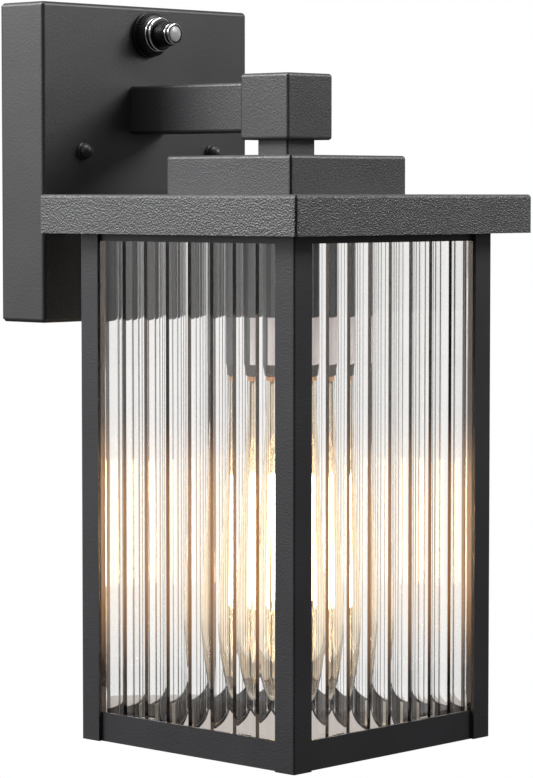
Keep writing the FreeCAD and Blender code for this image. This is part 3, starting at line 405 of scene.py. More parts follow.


# painted glow on the ridges, the panes and the bulb glass, standing in for the lamp's light they catch
paintedGlowSettings = {
    "ridge": {"colour": (0.42, 0.19, 0.07, 1), "strength": 0.6, "near": 14 * mm, "far": 50 * mm},
    "pane": {"colour": (0.42, 0.3, 0.14, 1), "strength": 0.07, "near": 14 * mm, "far": 50 * mm},
    "bulb": {"colour": (1.0, 0.8, 0.5, 1), "strength": 0.06, "near": 20 * mm, "far": 36 * mm},
}


def paintedLampGlow(material, values):
    # painted glow: the glass is given the lamp's light as emission of its own at the filaments' height,
    # fading from near to far off it
    tree = material.node_tree
    shader = tree.nodes["Principled BSDF"]
    low, high = nodeBox("bulb_filaments")
    place = addNode(tree, "ShaderNodeTexCoord")
    split = addNode(tree, "ShaderNodeSeparateXYZ")
    tree.links.new(place.outputs["Object"], split.inputs[0])
    offset = addNode(tree, "ShaderNodeMath", {"operation": "SUBTRACT"})
    offset.inputs[1].default_value = (low.z + high.z) / 2
    away = addNode(tree, "ShaderNodeMath", {"operation": "ABSOLUTE"})
    fade = addNode(tree, "ShaderNodeMapRange", {"interpolation_type": "SMOOTHSTEP"})
    fade.inputs["From Min"].default_value = values["near"]
    fade.inputs["From Max"].default_value = values["far"]
    fade.inputs["To Min"].default_value = 1.0
    fade.inputs["To Max"].default_value = 0.0
    glow = addNode(tree, "ShaderNodeMix", {"data_type": "RGBA"})
    glow.inputs[6].default_value = (0, 0, 0, 1)
    glow.inputs[7].default_value = values["colour"]
    tree.links.new(split.outputs["Z"], offset.inputs[0])
    tree.links.new(offset.outputs[0], away.inputs[0])
    tree.links.new(away.outputs[0], fade.inputs["Value"])
    tree.links.new(fade.outputs["Result"], glow.inputs[0])
    tree.links.new(glow.outputs[2], shader.inputs["Emission Color"])
    shader.inputs["Emission Strength"].default_value = values["strength"]


# painted glow on the ridges, the panes and the bulb glass
paintedLampGlow(paintedDarkRidgeGlass, paintedGlowSettings["ridge"])
paintedLampGlow(paneGlass, paintedGlowSettings["pane"])
paintedLampGlow(bulbClear, paintedGlowSettings["bulb"])


glowSettings = {"body": (1.0, 0.72, 0.3, 1), "amber": (1.0, 0.66, 0.28, 1), "pale": (1.0, 0.86, 0.6, 1),
                "strength": 12.0, "grain": 900.0, "smooth": 0.5, "rough": 0.7}


def makeGlow():
    # phosphor-coated strips, lit
    material, tree, shader = newMaterial("filamentGlow")
    shader.inputs["Base Color"].default_value = glowSettings["body"]
    shader.inputs["Emission Strength"].default_value = glowSettings["strength"]
    place = addNode(tree, "ShaderNodeTexCoord")
    grains = addNode(tree, "ShaderNodeTexNoise", Scale=glowSettings["grain"], Detail=2.0)
    tone = addNode(tree, "ShaderNodeMix", {"data_type": "RGBA"})
    tone.inputs[6].default_value = glowSettings["amber"]
    tone.inputs[7].default_value = glowSettings["pale"]
    gloss = addNode(tree, "ShaderNodeMapRange")
    gloss.inputs["To Min"].default_value = glowSettings["smooth"]
    gloss.inputs["To Max"].default_value = glowSettings["rough"]
    bump = addNode(tree, "ShaderNodeBump", Distance=0.2 * mm, Strength=0.3)
    tree.links.new(place.outputs["Object"], grains.inputs["Vector"])
    tree.links.new(grains.outputs["Fac"], tone.inputs[0])
    tree.links.new(tone.outputs[2], shader.inputs["Emission Color"])
    tree.links.new(grains.outputs["Fac"], gloss.inputs["Value"])
    tree.links.new(gloss.outputs["Result"], shader.inputs["Roughness"])
    tree.links.new(grains.outputs["Fac"], bump.inputs["Height"])
    tree.links.new(bump.outputs["Normal"], shader.inputs["Normal"])
    return material


filamentGlow = makeGlow()
print("materials ready")


# materials on the CAD pieces

nodeMaterials = {
    litAndShadedCoats["Plate"]: ["wall_canopy"],
    litAndShadedCoats["Cap"]: ["upper_cap"],
    litAndShadedCoats["Cast"]: ["arm_tube", "knuckle_cube", "neck_spacer"],
    litAndShadedCoats["Roof"]: ["roof"],
    litAndShadedCoats["Cage"]: ["cage_top_plate", "socket_sleeve"]
    + [f"corner_post_{corner}" for corner in corners]
    + [f"{level}_rail_{side}" for level in ("top", "bottom") for side in sides],
    steel: ["box_strap", "cross_strap", "strap_rivet", "plate_studs", "stud_lock_nuts", "arm_root_plug",
            "arm_screws", "threaded_nipple", "nipple_nuts", "glass_clips", "socket_bracket",
            "socket_screws", "sensor_lock_nut"],
    brass: ["socket_contact", "bulb_eyelet"],
    foam: ["wall_gasket"],
    greenScrew: ["ground_screw"],
    bushPlastic: ["wire_bush"],
    cellFace: ["photocell"],
}
for material, nodes in nodeMaterials.items():
    for node in nodes:
        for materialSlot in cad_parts[node].material_slots:
            materialSlot.material = material


def dress(piece, material, body, slotName, *replaced):
    piece.data.materials.clear()
    piece.data.materials.append(material)
    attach(piece, body)
    if replaced:
        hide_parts(*replaced)
    return piece


# fluted glass panes

paneSettings = {"flutes": 8, "radius": 13.5 * mm, "ridge": 1.6 * mm, "steps": 14, "round": 0.15 * mm,
                "roundSteps": 3, "smooth": 35}


def fluteOutline(middle, sweep, face):
    # one hollow, seen from above
    points = []
    radius = paneSettings["radius"]
    for step in range(paneSettings["steps"] + 1):
        angle = sweep * (2 * step / paneSettings["steps"] - 1)
        depth = radius * (math.cos(angle) - math.cos(sweep))
        points.append((middle + radius * math.sin(angle), face + depth))
    return points


def ridgeDistance(across, postInner, pitch):
    # how far a point of the front pane is from the middle of the nearest ridge
    ridge = (across + postInner) / pitch
    return abs(ridge - round(ridge)) * pitch


def makePane():
    # the front pane: its plan is drawn as one closed outline and pulled up to the pane's height
    low, high = nodeBox("glass_pane_front")
    postInner = nodeBox("corner_post_front_right")[0].x
    pitch = 2 * postInner / paneSettings["flutes"]
    sweep = math.asin((pitch - paneSettings["ridge"]) / 2 / paneSettings["radius"])
    outline = [(high.x, high.y), (low.x, high.y), (low.x, low.y)]
    for flute in range(paneSettings["flutes"]):
        outline += fluteOutline(-postInner + pitch * (flute + 0.5), sweep, low.y)
    outline += [(high.x, low.y), (high.x, high.y)]
    pane = drawOutline([(x, y, low.z) for x, y in outline])
    selectAllIn(pane)
    bpy.ops.mesh.remove_doubles(threshold=weld)
    bpy.ops.mesh.select_all(action="DESELECT")
    editOff()
    # the ridges' edges are rounded before the plan is pulled up
    halfRidge = paneSettings["ridge"] / 2
    for corner in pane.data.vertices:
        atRidge = ridgeDistance(corner.co.x, postInner, pitch) < 1.02 * halfRidge
        corner.select = atRidge and corner.co.y < low.y + weld
    editOn()
    bpy.ops.mesh.bevel(offset=paneSettings["round"], segments=paneSettings["roundSteps"], affect="VERTICES")
    bpy.ops.mesh.select_all(action="SELECT")
    bpy.ops.mesh.edge_face_add()
    bpy.ops.mesh.extrude_region_move(TRANSFORM_OT_translate={"value": (0, 0, high.z - low.z)})
    bpy.ops.mesh.select_all(action="SELECT")
    bpy.ops.mesh.normals_make_consistent(inside=False)
    editOff()
    pane.data.materials.append(paneGlass)
    pane.data.materials.append(paintedDarkRidgeGlass)
    # the ridges' faces take the glass painted dark, as painted shade for the dark they refract
    for face in pane.data.polygons:
        atRidge = ridgeDistance(face.center.x, postInner, pitch) < halfRidge
        atFront = face.center.y < low.y + paneSettings["round"]
        if atRidge and atFront and abs(face.normal.z) < 0.5:
            face.material_index = 1
    smoothBelow(paneSettings["smooth"])
    return settle(pane, "pane_front")


def makePanes():
    # the front pane is copied and turned for the other three sides, and each side's own CAD pane is hidden
    first = makePane()
    for quarter, side in enumerate(sides):
        pane = copyPiece(first, f"pane_{side}") if quarter else first
        if quarter:
            turnPiece(pane, math.radians(90 * quarter), "Z", lampAxis)
        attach(pane, "lantern")
        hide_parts(f"glass_pane_{side}")


makePanes()
print("panes made")


# bulb glass

bulbSettings = {
    "neck": 12.5 * mm, "ball": 32 * mm, "wall": 0.8 * mm, "taper": 14.7, "blend": 60 * mm, "blendSteps": 8,
    "ballSteps": 24, "around": 96, "smooth": 50, "tipFrom": -76.0,
    # the tip, as shares of the width and height that are left where the ball stops
    "tip": [(0.72, 0.62), (0.45, 0.36), (0.2, 0.1), (0.0, 0.0)]}


def bulbProfile(shrink, top):
    # neck, hollow blend, straight taper, ball and tip, from the top down, at a depth inside the outer face
    radius = bulbSettings["ball"] - shrink
    neck = bulbSettings["neck"] - shrink
    blend = bulbSettings["blend"] + shrink
    taper = math.radians(bulbSettings["taper"])
    centre = bulbLow.z + bulbSettings["ball"]
    wide = radius * math.cos(taper)
    shoulder = centre + radius * math.sin(taper)
    # the blend's circle touches the neck and the taper from outside
    waist = shoulder + (wide - neck) / math.tan(taper)
    blendTop = waist + blend * math.tan(taper / 2)
    points = [(neck, top)]
    points += arcPoints((neck + blend, blendTop), blend, 180, 180 + bulbSettings["taper"],
                        bulbSettings["blendSteps"])
    points += arcPoints((0, centre), radius, bulbSettings["taper"], bulbSettings["tipFrom"],
                        bulbSettings["ballSteps"])
    side, level = points[-1]
    foot = centre - radius
    return points + [(side * across, foot + (level - foot) * up) for across, up in bulbSettings["tip"]]


def makeBulbGlass():
    outside = bulbProfile(0.0, bulbHigh.z)
    inside = bulbProfile(bulbSettings["wall"], bulbHigh.z)
    glass = spinOutline("bulbGlassOuter", outside, bulbSettings["around"])
    lining = spinOutline("bulbGlassInner", inside, bulbSettings["around"])
    selectAllIn(lining)
    bpy.ops.mesh.flip_normals()
    editOff()
    shell = joinPieces([glass, lining], "bulb_envelope")
    editOn()
    bpy.ops.mesh.select_mode(type="EDGE")
    bpy.ops.mesh.select_all(action="DESELECT")
    bpy.ops.mesh.select_non_manifold()
    bpy.ops.mesh.bridge_edge_loops()
    editOff()
    smoothBelow(bulbSettings["smooth"])
    return shell


dress(makeBulbGlass(), bulbClear, "bulb", "bulb_clear", "bulb_glass")
print("bulb made")


# filament strips, support wires and stem inside the bulb

stripSettings = {"count": 8, "topRing": 8 * mm, "lowRing": 12.5 * mm, "radius": 1.4 * mm, "round": 0.6,
                 "roundSteps": 4, "around": 12, "smooth": 60}
wireSettings = {
    "radius": 0.28 * mm, "round": 2, "steps": 6, "smooth": 50,
    # the wires' routes in millimetres: across and up from the stem, the strips' ends and the rod
    "fromStem": [(1.5, 2.0), (2.5, -2.0)], "toTop": [(-1.0, 5.5), (0.5, 4.0), (0.0, 0.0)],
    "fromLow": [(0.0, 0.0), (0.3, -4.2), (-2.0, -4.7)], "toRod": [(1.0, -2.0), (0.0, 2.0)],
    # the caps on the strips' ends, as shares of their radius and height
    "cap": 3.2 * mm, "capRadius": 0.7 * mm, "capTuck": 0.4 * mm, "capAround": 10,
    "capShape": [(0.0, 0.0), (0.6, 0.0), (1.0, 0.15), (1.0, 0.85), (0.6, 1.0), (0.0, 1.0)],
    "rod": 0.5 * mm, "rodLow": 2.0 * mm, "rodHigh": 1.0 * mm, "rodPoint": 0.4 * mm, "rodAround": 12}
stemSettings = {
    # radius and height in millimetres, up from the stem's foot, then down from its top
    "foot": [(0.0, 0.0), (1.6, 0.4), (2.6, 1.8), (2.9, 4.0), (2.6, 9.0), (3.4, 15.0)],
    "flare": [(3.6, -9.0), (5.0, -5.0), (8.2, -2.2), (11.3, -0.8), (11.6, 0.0), (0.0, 0.0)],
    "around": 48, "smooth": 50}


def makeStrip(top, low):
    # one strip, round-ended, leaning from the top ring to the low ring
    ringTop, ringLow, radius = stripSettings["topRing"], stripSettings["lowRing"], stripSettings["radius"]
    length = math.dist((ringTop, top), (ringLow, low))
    bend = radius * stripSettings["round"]
    steps = stripSettings["roundSteps"]
    outline = [(0.0, 0.0)] + arcPoints((radius - bend, bend), bend, -90, 0, steps)
    outline += [(radius, length - bend)]
    outline += arcPoints((radius - bend, length - bend), bend, 0, 90, steps) + [(0.0, length)]
    strip = spinOutline("filamentFirst", outline, stripSettings["around"], stripSettings["smooth"],
                        Vector((0, 0, 0)))
    turnPiece(strip, -math.atan2(ringLow - ringTop, top - low), "Y", (0, 0, 0))
    movePiece(strip, (lampAxis.x + ringLow, lampAxis.y, low))
    return strip


def makeWire(name, points):
    # a bent wire: a smooth curve through its points, made a mesh
    clearSelection()
    bpy.ops.curve.primitive_nurbs_path_add(location=(0, 0, 0))
    wire = bpy.context.object
    wire.data.splines.clear()
    spline = wire.data.splines.new("NURBS")
    spline.points.add(len(points) - 1)
    for knot, place in zip(spline.points, points):
        knot.co = (*place, 1.0)
    spline.order_u = 3
    spline.use_endpoint_u = True
    wire.data.bevel_depth = wireSettings["radius"]
    wire.data.bevel_resolution = wireSettings["round"]
    wire.data.use_fill_caps = True
    wire.data.resolution_u = wireSettings["steps"]
    bpy.ops.object.convert(target="MESH")
    wire = bpy.context.object
    selectAllIn(wire)
    weldPoints()
    editOff()
    smoothBelow(wireSettings["smooth"])
    return settle(wire, name)


def routePoints(pairs, across, level):
    return [(lampAxis.x + across + x * mm, lampAxis.y, level + z * mm) for x, z in pairs]


def makeWires(top, low, stemFoot):
    ringTop, ringLow, cap = stripSettings["topRing"], stripSettings["lowRing"], wireSettings["cap"]
    upper = makeWire("wireUpper", routePoints(wireSettings["fromStem"], 0, stemFoot)
                     + routePoints(wireSettings["toTop"], ringTop, top))
    lower = makeWire("wireLower", routePoints(wireSettings["fromLow"], ringLow, low)
                     + routePoints(wireSettings["toRod"], 0, low))
    outline = [(wireSettings["capRadius"] * x, cap * z) for x, z in wireSettings["capShape"]]
    topCap = spinOutline("capUpper", outline, wireSettings["capAround"], wireSettings["smooth"],
                         Vector((0, 0, 0)))
    tuck = wireSettings["capTuck"]
    movePiece(topCap, (lampAxis.x + ringTop, lampAxis.y, top - tuck))
    lowCap = copyPiece(topCap, "capLower")
    movePiece(lowCap, (ringLow - ringTop, 0, low - top - cap + 2 * tuck))
    spokes = joinPieces([upper, lower, topCap, lowCap], "wireSet")
    spokes = roundAxis(spokes, stripSettings["count"], "bulb_wires_spokes")
    rodFoot, rodTop = low - wireSettings["rodLow"], stemFoot + wireSettings["rodHigh"]
    rod, point = wireSettings["rod"], wireSettings["rodPoint"]
    rodOutline = [(0, rodFoot), (rod, rodFoot + point), (rod, rodTop), (0, rodTop + point)]
    middle = spinOutline("wireRod", rodOutline, wireSettings["rodAround"])
    return joinPieces([spokes, middle], "bulb_wires")


def makeInside():
    low, high = nodeBox("bulb_filaments")
    stemLow, stemHigh = nodeBox("bulb_stem")
    strips = roundAxis(makeStrip(high.z, low.z), stripSettings["count"], "bulb_filament_strips")
    dress(strips, filamentGlow, "bulb", "filament", "bulb_filaments")
    dress(makeWires(high.z, low.z, stemLow.z), steel, "bulb", "wire", "bulb_supports")
    outline = [(radius * mm, stemLow.z + up * mm) for radius, up in stemSettings["foot"]]
    outline += [(radius * mm, stemHigh.z + up * mm) for radius, up in stemSettings["flare"]]
    stem = spinOutline("bulb_stem_glass", outline, stemSettings["around"], stemSettings["smooth"])
    dress(stem, bulbClear, "bulb", "bulb_clear", "bulb_stem")


makeInside()
print("bulb inside made")


# lampholder and the label round it

holderSettings = {"chamfer": 3.0 * mm, "rim": 1.4 * mm, "edge": 0.4 * mm, "corner": 0.3 * mm,
                  "step": 1.6 * mm, "lead": 0.5 * mm, "gap": 0.05 * mm, "bore": 0.1 * mm, "around": 96,
                  "smooth": 30}
labelSettings = {"thick": 0.25 * mm, "up": 4.5 * mm, "below": 0.3 * mm, "from": 196.0, "to": 372.0,
                 "steps": 44, "smooth": 40}


def makeHolder(outer, sleeveFoot):
    low, high = holderLow, holderHigh
    shellLow, shellHigh = nodeBox("socket_shell")
    bore = (shellHigh.x - shellLow.x) / 2 + holderSettings["bore"]
    chamfer, rim, edge = holderSettings["chamfer"], holderSettings["rim"], holderSettings["edge"]
    corner, lead = holderSettings["corner"], holderSettings["lead"]
    neck = outer - holderSettings["step"]
    outline = [(bore, shellHigh.z), (bore, low.z + edge), (bore + edge, low.z),
               (outer - chamfer - edge, low.z), (outer - chamfer, low.z + corner),
               (outer - chamfer + edge, low.z + rim), (outer - corner, low.z + rim + chamfer - corner),
               (outer, low.z + rim + chamfer), (outer, sleeveFoot - edge),
               (outer - corner, sleeveFoot - holderSettings["gap"]), (neck, sleeveFoot),
               (neck, high.z - lead), (neck - lead, high.z), (bore, high.z), (bore, shellHigh.z)]
    holder = spinOutline("lampholder_body", outline, holderSettings["around"], holderSettings["smooth"])
    dress(holder, holderDark, "lantern", "holder_dark", "lampholder")


def makeLabel(outer, sleeveFoot):
    # plain, and wrapped part of the way round: one upright edge is spun, then given its thickness
    radius = outer + labelSettings["thick"]
    foot, head = holderLow.z + labelSettings["up"], sleeveFoot - labelSettings["below"]
    label = drawOutline([(lampAxis.x, lampAxis.y - radius, foot), (lampAxis.x, lampAxis.y - radius, head)])
    start, end = labelSettings["from"], labelSettings["to"]
    turnPiece(label, math.radians(start + 90), "Z", lampAxis)
    selectAllIn(label)
    bpy.ops.mesh.spin(steps=labelSettings["steps"], angle=math.radians(start - end),
                      center=tuple(lampAxis), axis=(0, 0, 1))
    weldPoints()
    editOff()
    paper = label.modifiers.new("paper", "SOLIDIFY")
    paper.thickness = labelSettings["thick"]
    paper.offset = 0
    bpy.ops.object.modifier_apply(modifier="paper")
    smoothBelow(labelSettings["smooth"])
    dress(settle(label, "holder_label"), labelPaper, "lantern", "label_paper")


sleeveLow, sleeveHigh = nodeBox("socket_sleeve")
makeHolder((sleeveHigh.x - sleeveLow.x) / 2, sleeveLow.z)
makeLabel((sleeveHigh.x - sleeveLow.x) / 2, sleeveLow.z)
print("lampholder made")


# the bulb's screw base, its insulator and solder, and the holder's shell

threadSettings = {"pitch": 3.629 * mm, "depth": 0.55 * mm, "around": 48, "rings": 8, "fade": mm,
                  "runOut": 0.8 * mm, "smooth": 50}
baseSettings = {"wall": 0.4 * mm, "plain": 2.6 * mm}
shellSettings = {"wall": 0.3 * mm, "plain": 1.2 * mm}
insulatorSettings = {"around": 64, "smooth": 45,
                     # in millimetres: in from the rim and up, then out from the eyelet and down
                     "rim": [(0.0, 0.0), (0.0, 0.4), (0.3, 0.55), (3.2, 0.8)],
                     "nose": [(1.6, 0.7), (0.9, 0.15), (0.3, 0.0)]}
solderSettings = {"around": 32, "smooth": 60,
                  # radius and height above the eyelet, in millimetres
                  "drop": [(0.0, -0.1), (2.2, -0.1), (2.1, 0.08), (1.5, 0.18), (0.7, 0.24), (0.0, 0.25)]}


def threadedSleeve(name, node, values):
    # a thin sleeve whose wall is rolled into a round, right-handed thread between two plain ends
    low, high = nodeBox(node)
    outer = (high.x - low.x) / 2
    start, end = low.z + values["plain"], high.z - threadSettings["runOut"]
    piece = drawOutline([(lampAxis.x + outer, lampAxis.y, low.z), (lampAxis.x + outer, lampAxis.y, high.z)])
    selectAllIn(piece)
    rows = int((high.z - low.z) / threadSettings["pitch"] * threadSettings["rings"])
    bpy.ops.mesh.subdivide(number_cuts=rows)
    bpy.ops.mesh.spin(steps=threadSettings["around"], angle=math.tau, center=tuple(lampAxis),
                      axis=(0, 0, 1))
    weldPoints()
    editOff()
    for point in piece.data.vertices:
        across, back = point.co.x - lampAxis.x, point.co.y - lampAxis.y
        turn = math.tau * point.co.z / threadSettings["pitch"] - math.atan2(back, across)
        rise = min(1.0, max(0.0, (point.co.z - start) / threadSettings["fade"]))
        fall = min(1.0, max(0.0, (end - point.co.z) / threadSettings["fade"]))
        groove = threadSettings["depth"] * (0.5 + 0.5 * math.cos(turn)) * rise * fall
        point.co.x = lampAxis.x + across * (1.0 - groove / outer)
        point.co.y = lampAxis.y + back * (1.0 - groove / outer)
    wall = piece.modifiers.new("wall", "SOLIDIFY")
    wall.thickness = values["wall"]
    wall.offset = -1
    bpy.ops.object.modifier_apply(modifier="wall")
    smoothBelow(threadSettings["smooth"])
    return settle(piece, name)


def makeInsulator():
    low, high = nodeBox("bulb_insulator")
    eyeLow, eyeHigh = nodeBox("bulb_eyelet")
    rim, eye = (high.x - low.x) / 2, (eyeHigh.x - eyeLow.x) / 2
    outline = [(0.0, low.z)]
    outline += [(rim - inward * mm, low.z + up * mm) for inward, up in insulatorSettings["rim"]]
    outline += [(eye + outward * mm, high.z - down * mm) for outward, down in insulatorSettings["nose"]]
    outline += [(0.0, high.z)]
    disc = spinOutline("bulb_glass_insulator", outline, insulatorSettings["around"],
                       insulatorSettings["smooth"])
    dress(disc, blackGlaze, "bulb", "bulb_insulator", "bulb_insulator")
    drop = [(radius * mm, eyeHigh.z + up * mm) for radius, up in solderSettings["drop"]]
    blob = spinOutline("eyelet_solder", drop, solderSettings["around"], solderSettings["smooth"])
    dress(blob, solder, "bulb_eyelet", "brass_shell")


dress(threadedSleeve("bulb_screw_base", "bulb_base", baseSettings), brass, "bulb", "brass_shell", "bulb_base")
dress(threadedSleeve("holder_screw_shell", "socket_shell", shellSettings), brass, "lantern", "brass_shell",
      "socket_shell")
makeInsulator()
print("screw base made")


# light sensor

sensorLow, sensorHigh = nodeBox("sensor_barrel")
sensorMiddle = (sensorLow + sensorHigh) / 2
plateFront = nodeBox("wall_canopy")[0].y
collarSettings = {"ribs": 44, "rib": 0.3 * mm, "bore": 0.05 * mm, "edge": 0.3 * mm, "flange": 1.1 * mm,
                  "flangeEnd": 1.3 * mm, "grip": 0.35 * mm, "gripEnd": 1.0 * mm, "nose": 1.0 * mm,
                  "noseStart": 0.7 * mm, "noseEnd": 0.25 * mm, "noseEdge": 0.4 * mm}
ringSettings = {"around": 72, "bead": 0.4 * mm, "bezelBead": 0.36 * mm, "back": 0.1 * mm, "groove": 0.1 * mm,
                "backAngles": (-50, -20, 10, 40, 70), "frontAngles": (-70, -40, -10, 20, 50, 80)}
tubeSettings = {"wall": 1.2 * mm, "edge": 0.3 * mm, "lip": 0.9 * mm, "lipDepth": 0.2 * mm,
                "lipEnd": 0.75 * mm, "nose": 0.4 * mm}
lensSettings = {"dome": 0.7 * mm, "edge": 0.1 * mm, "gap": 0.05 * mm, "foot": 0.2 * mm, "share": 0.97,
                "angles": (12, 26, 42, 58, 74), "smooth": 60}


def sensorPiece(name, outline, steps, smooth=35):
    # outline is (radius, distance in front of the plate); it is spun upright, then laid to point outwards
    piece = spinOutline(name, outline, steps, smooth, Vector((0, 0, 0)))
    turnPiece(piece, math.radians(90), "X", (0, 0, 0))
    movePiece(piece, (sensorMiddle.x, plateFront, sensorMiddle.z))
    return piece


def lengthOut(node):
    # where a round piece starts and ends in front of the plate, and its radius
    low, high = nodeBox(node)
    return plateFront - high.y, plateFront - low.y, (high.x - low.x) / 2


def fromSensorAxis(place):
    across, up = place.x - sensorMiddle.x, place.z - sensorMiddle.z
    return across, up, math.hypot(across, up)


def makeCollar(barrelRadius):
    # a flange, a ribbed grip and a stepped nose
    start, end, radius = lengthOut("sensor_collar")
    values = collarSettings
    bore, grip, nose = barrelRadius + values["bore"], radius - values["grip"], radius - values["nose"]
    outline = [(bore, start), (radius - values["edge"], start), (radius, start + values["edge"]),
               (radius, start + values["flange"]), (grip, start + values["flangeEnd"]),
               (grip, end - values["gripEnd"]), (nose, end - values["noseStart"]),
               (nose, end - values["noseEnd"]), (nose - values["noseEdge"], end), (bore, end), (bore, start)]
    collar = sensorPiece("sensor_grip_collar", outline, 4 * values["ribs"])
    gripStart = start + values["flangeEnd"] - values["bore"]
    gripEnd = end - values["gripEnd"] + values["bore"]
    for point in collar.data.vertices:
        across, up, far = fromSensorAxis(point.co)
        onGrip = gripStart < plateFront - point.co.y < gripEnd
        if onGrip and far > nose + values["edge"]:
            wave = 0.5 + 0.5 * math.cos(math.atan2(up, across) * values["ribs"])
            point.co.x = sensorMiddle.x + across * (1.0 - values["rib"] * wave / far)
            point.co.z = sensorMiddle.z + up * (1.0 - values["rib"] * wave / far)
    dress(collar, blackPlastic, "lantern", "sensor_black", "sensor_collar")


def beadPoints(outer, bead, level, angles):
    turns = [math.radians(angle) for angle in angles]
    return [(outer - bead + bead * math.cos(turn), level + bead * math.sin(turn)) for turn in turns]


def chromeRing(name, bore, bead, node):
    # two bright beads on a black ring, with a groove between them
    start, end, outer = lengthOut(node)
    middle, back = (start + end) / 2, start + ringSettings["back"]
    groove = outer - 1.1 * bead
    outline = [(bore, back), (outer - bead, back)]
    outline += beadPoints(outer, bead, start + bead, ringSettings["backAngles"])
    outline += [(groove, middle - ringSettings["groove"]), (groove, middle + ringSettings["groove"])]
    outline += beadPoints(outer, bead, end - bead, ringSettings["frontAngles"]) + [(bore, end), (bore, back)]
    ring = sensorPiece(name, outline, ringSettings["around"])
    dress(ring, chrome, "lantern", "sensor_chrome", node)
    ring.data.materials.append(blackPlastic)
    for face in ring.data.polygons:
        if fromSensorAxis(face.center)[2] < outer - 0.8 * bead:
            face.material_index = 1


def makeTube(start, end, radius):
    values = tubeSettings
    bore, lip = radius - values["wall"], radius - values["lipDepth"]
    outline = [(bore, start), (radius - values["edge"], start), (radius, start + values["edge"]),
               (radius, end - values["lip"]), (lip, end - values["lipEnd"]), (lip, end - values["lipDepth"]),
               (radius - values["nose"], end), (bore, end), (bore, start)]
    tube = sensorPiece("sensor_tube", outline, ringSettings["around"])
    dress(tube, blackPlastic, "lantern", "sensor_black", "sensor_barrel")


def makeLens(start, end, radius):
    side, dome = radius - lensSettings["gap"], lensSettings["dome"]
    outline = [(0.0, start), (radius - lensSettings["edge"], start), (side, start + lensSettings["foot"]),
               (side, end - dome)]
    for angle in lensSettings["angles"]:
        turn = math.radians(angle)
        outline.append((radius * math.cos(turn) * lensSettings["share"], end - dome + dome * math.sin(turn)))
    lens = sensorPiece("sensor_dome_lens", outline + [(0.0, end)], ringSettings["around"],
                       lensSettings["smooth"])
    dress(lens, lensGrey, "lantern", "sensor_lens", "sensor_lens")


def makeSensor():
    barrelStart, barrelEnd, barrelRadius = lengthOut("sensor_barrel")
    lensStart, lensEnd, lensRadius = lengthOut("sensor_lens")
    makeCollar(barrelRadius)
    chromeRing("sensor_double_ring", barrelRadius + collarSettings["bore"], ringSettings["bead"],
               "sensor_ring")
    makeTube(barrelStart, barrelEnd, barrelRadius)
    chromeRing("sensor_double_bezel", lensRadius, ringSettings["bezelBead"], "sensor_bezel")
    makeLens(lensStart, lensEnd, lensRadius)


makeSensor()
print("sensor made")


# cap nuts

nutSettings = {"edge": 0.15 * mm, "seat": 0.45 * mm, "groove": [(0.2, 0.25), (0.35, 0.05)], "in": 0.3 * mm,
               "around": 48, "smooth": 40, "firstAngle": 4, "angleStep": 9}


def makeCapNuts():
    # a domed nut with a seat ring and a turned groove above it
    start, end = lengthOut("plate_cap_nuts")[:2]
    low, high = nodeBox("plate_cap_nuts")
    radius = (high.z - low.z) / 2
    seat, edge = end - radius, nutSettings["edge"]
    outline = [(0.0, start), (radius - edge, start), (radius, start + edge),
               (radius, seat - nutSettings["seat"])]
    outline += [(radius - inward * mm, seat - down * mm) for inward, down in nutSettings["groove"]]
    for angle in range(nutSettings["firstAngle"], 90, nutSettings["angleStep"]):
        turn = math.radians(angle)
        outline.append(((radius - nutSettings["in"]) * math.cos(turn), seat + radius * math.sin(turn)))
    nut = sensorPiece("capNutFirst", outline + [(0.0, end)], nutSettings["around"], nutSettings["smooth"])
    twin = copyPiece(nut, "capNutSecond")
    level = (low.z + high.z) / 2 - sensorMiddle.z
    movePiece(nut, (low.x + radius - sensorMiddle.x, 0, level))
    movePiece(twin, (high.x - radius - sensorMiddle.x, 0, level))
    dress(joinPieces([nut, twin], "plate_dome_nuts"), litAndShadedCoats["Plate"], "lantern", "black_metal",
          "plate_cap_nuts")


makeCapNuts()
print("cap nuts made")


# camera, lamps and stage

cameraSettings = {"place": (-0.825, -0.862, -0.0104), "turn": -46.72, "pitch": 3.67, "lens": 142.97,
                  "near": 0.05}


def makeCamera():
    data = bpy.data.cameras.new("studioCamera")
    camera = bpy.data.objects.new("studioCamera", data)
    bpy.context.scene.collection.objects.link(camera)
    data.lens = cameraSettings["lens"]
    data.clip_start = cameraSettings["near"]
    camera.location = cameraSettings["place"]
    camera.rotation_euler = (math.radians(90 - cameraSettings["pitch"]), 0,
                             math.radians(cameraSettings["turn"]))
    bpy.context.scene.camera = camera


lampSettings = {
    "keyLeft": {"place": (-0.62, 0.36, 0.44), "size": 0.4, "power": 10.5},
    "fillRight": {"place": (0.44, -0.66, 0.4), "size": 0.36, "power": 6.0},
    "top": {"place": (-0.1, -0.2, 1.2), "size": 0.8, "power": 9.0},
}


def makeLamps():
    target = (cadLow + cadHigh) / 2
    for name, values in lampSettings.items():
        data = bpy.data.lights.new(name, "AREA")
        data.size = values["size"]
        data.energy = values["power"]
        lamp = bpy.data.objects.new(name, data)
        bpy.context.scene.collection.objects.link(lamp)
        lamp.location = values["place"]
        aim = target - Vector(values["place"])
        lamp.rotation_euler = aim.to_track_quat("-Z", "Y").to_euler()


# each slope: its direction, the cosines where it starts and ends, and the brightness there
roomSettings = {
    "dark": {"towards": (-0.73, -0.68, 0.0), "start": 0.45, "end": 1.0, "from": 0.55, "to": 0.03},
    "bright": {"towards": (-0.7, 0.71, 0.1), "start": 0.3, "end": 1.0, "from": 0.0, "to": 1.9},
    "below": {"towards": (0, 0, 1), "start": -0.15, "end": 0.12, "from": 0.25, "to": 1.0},
}


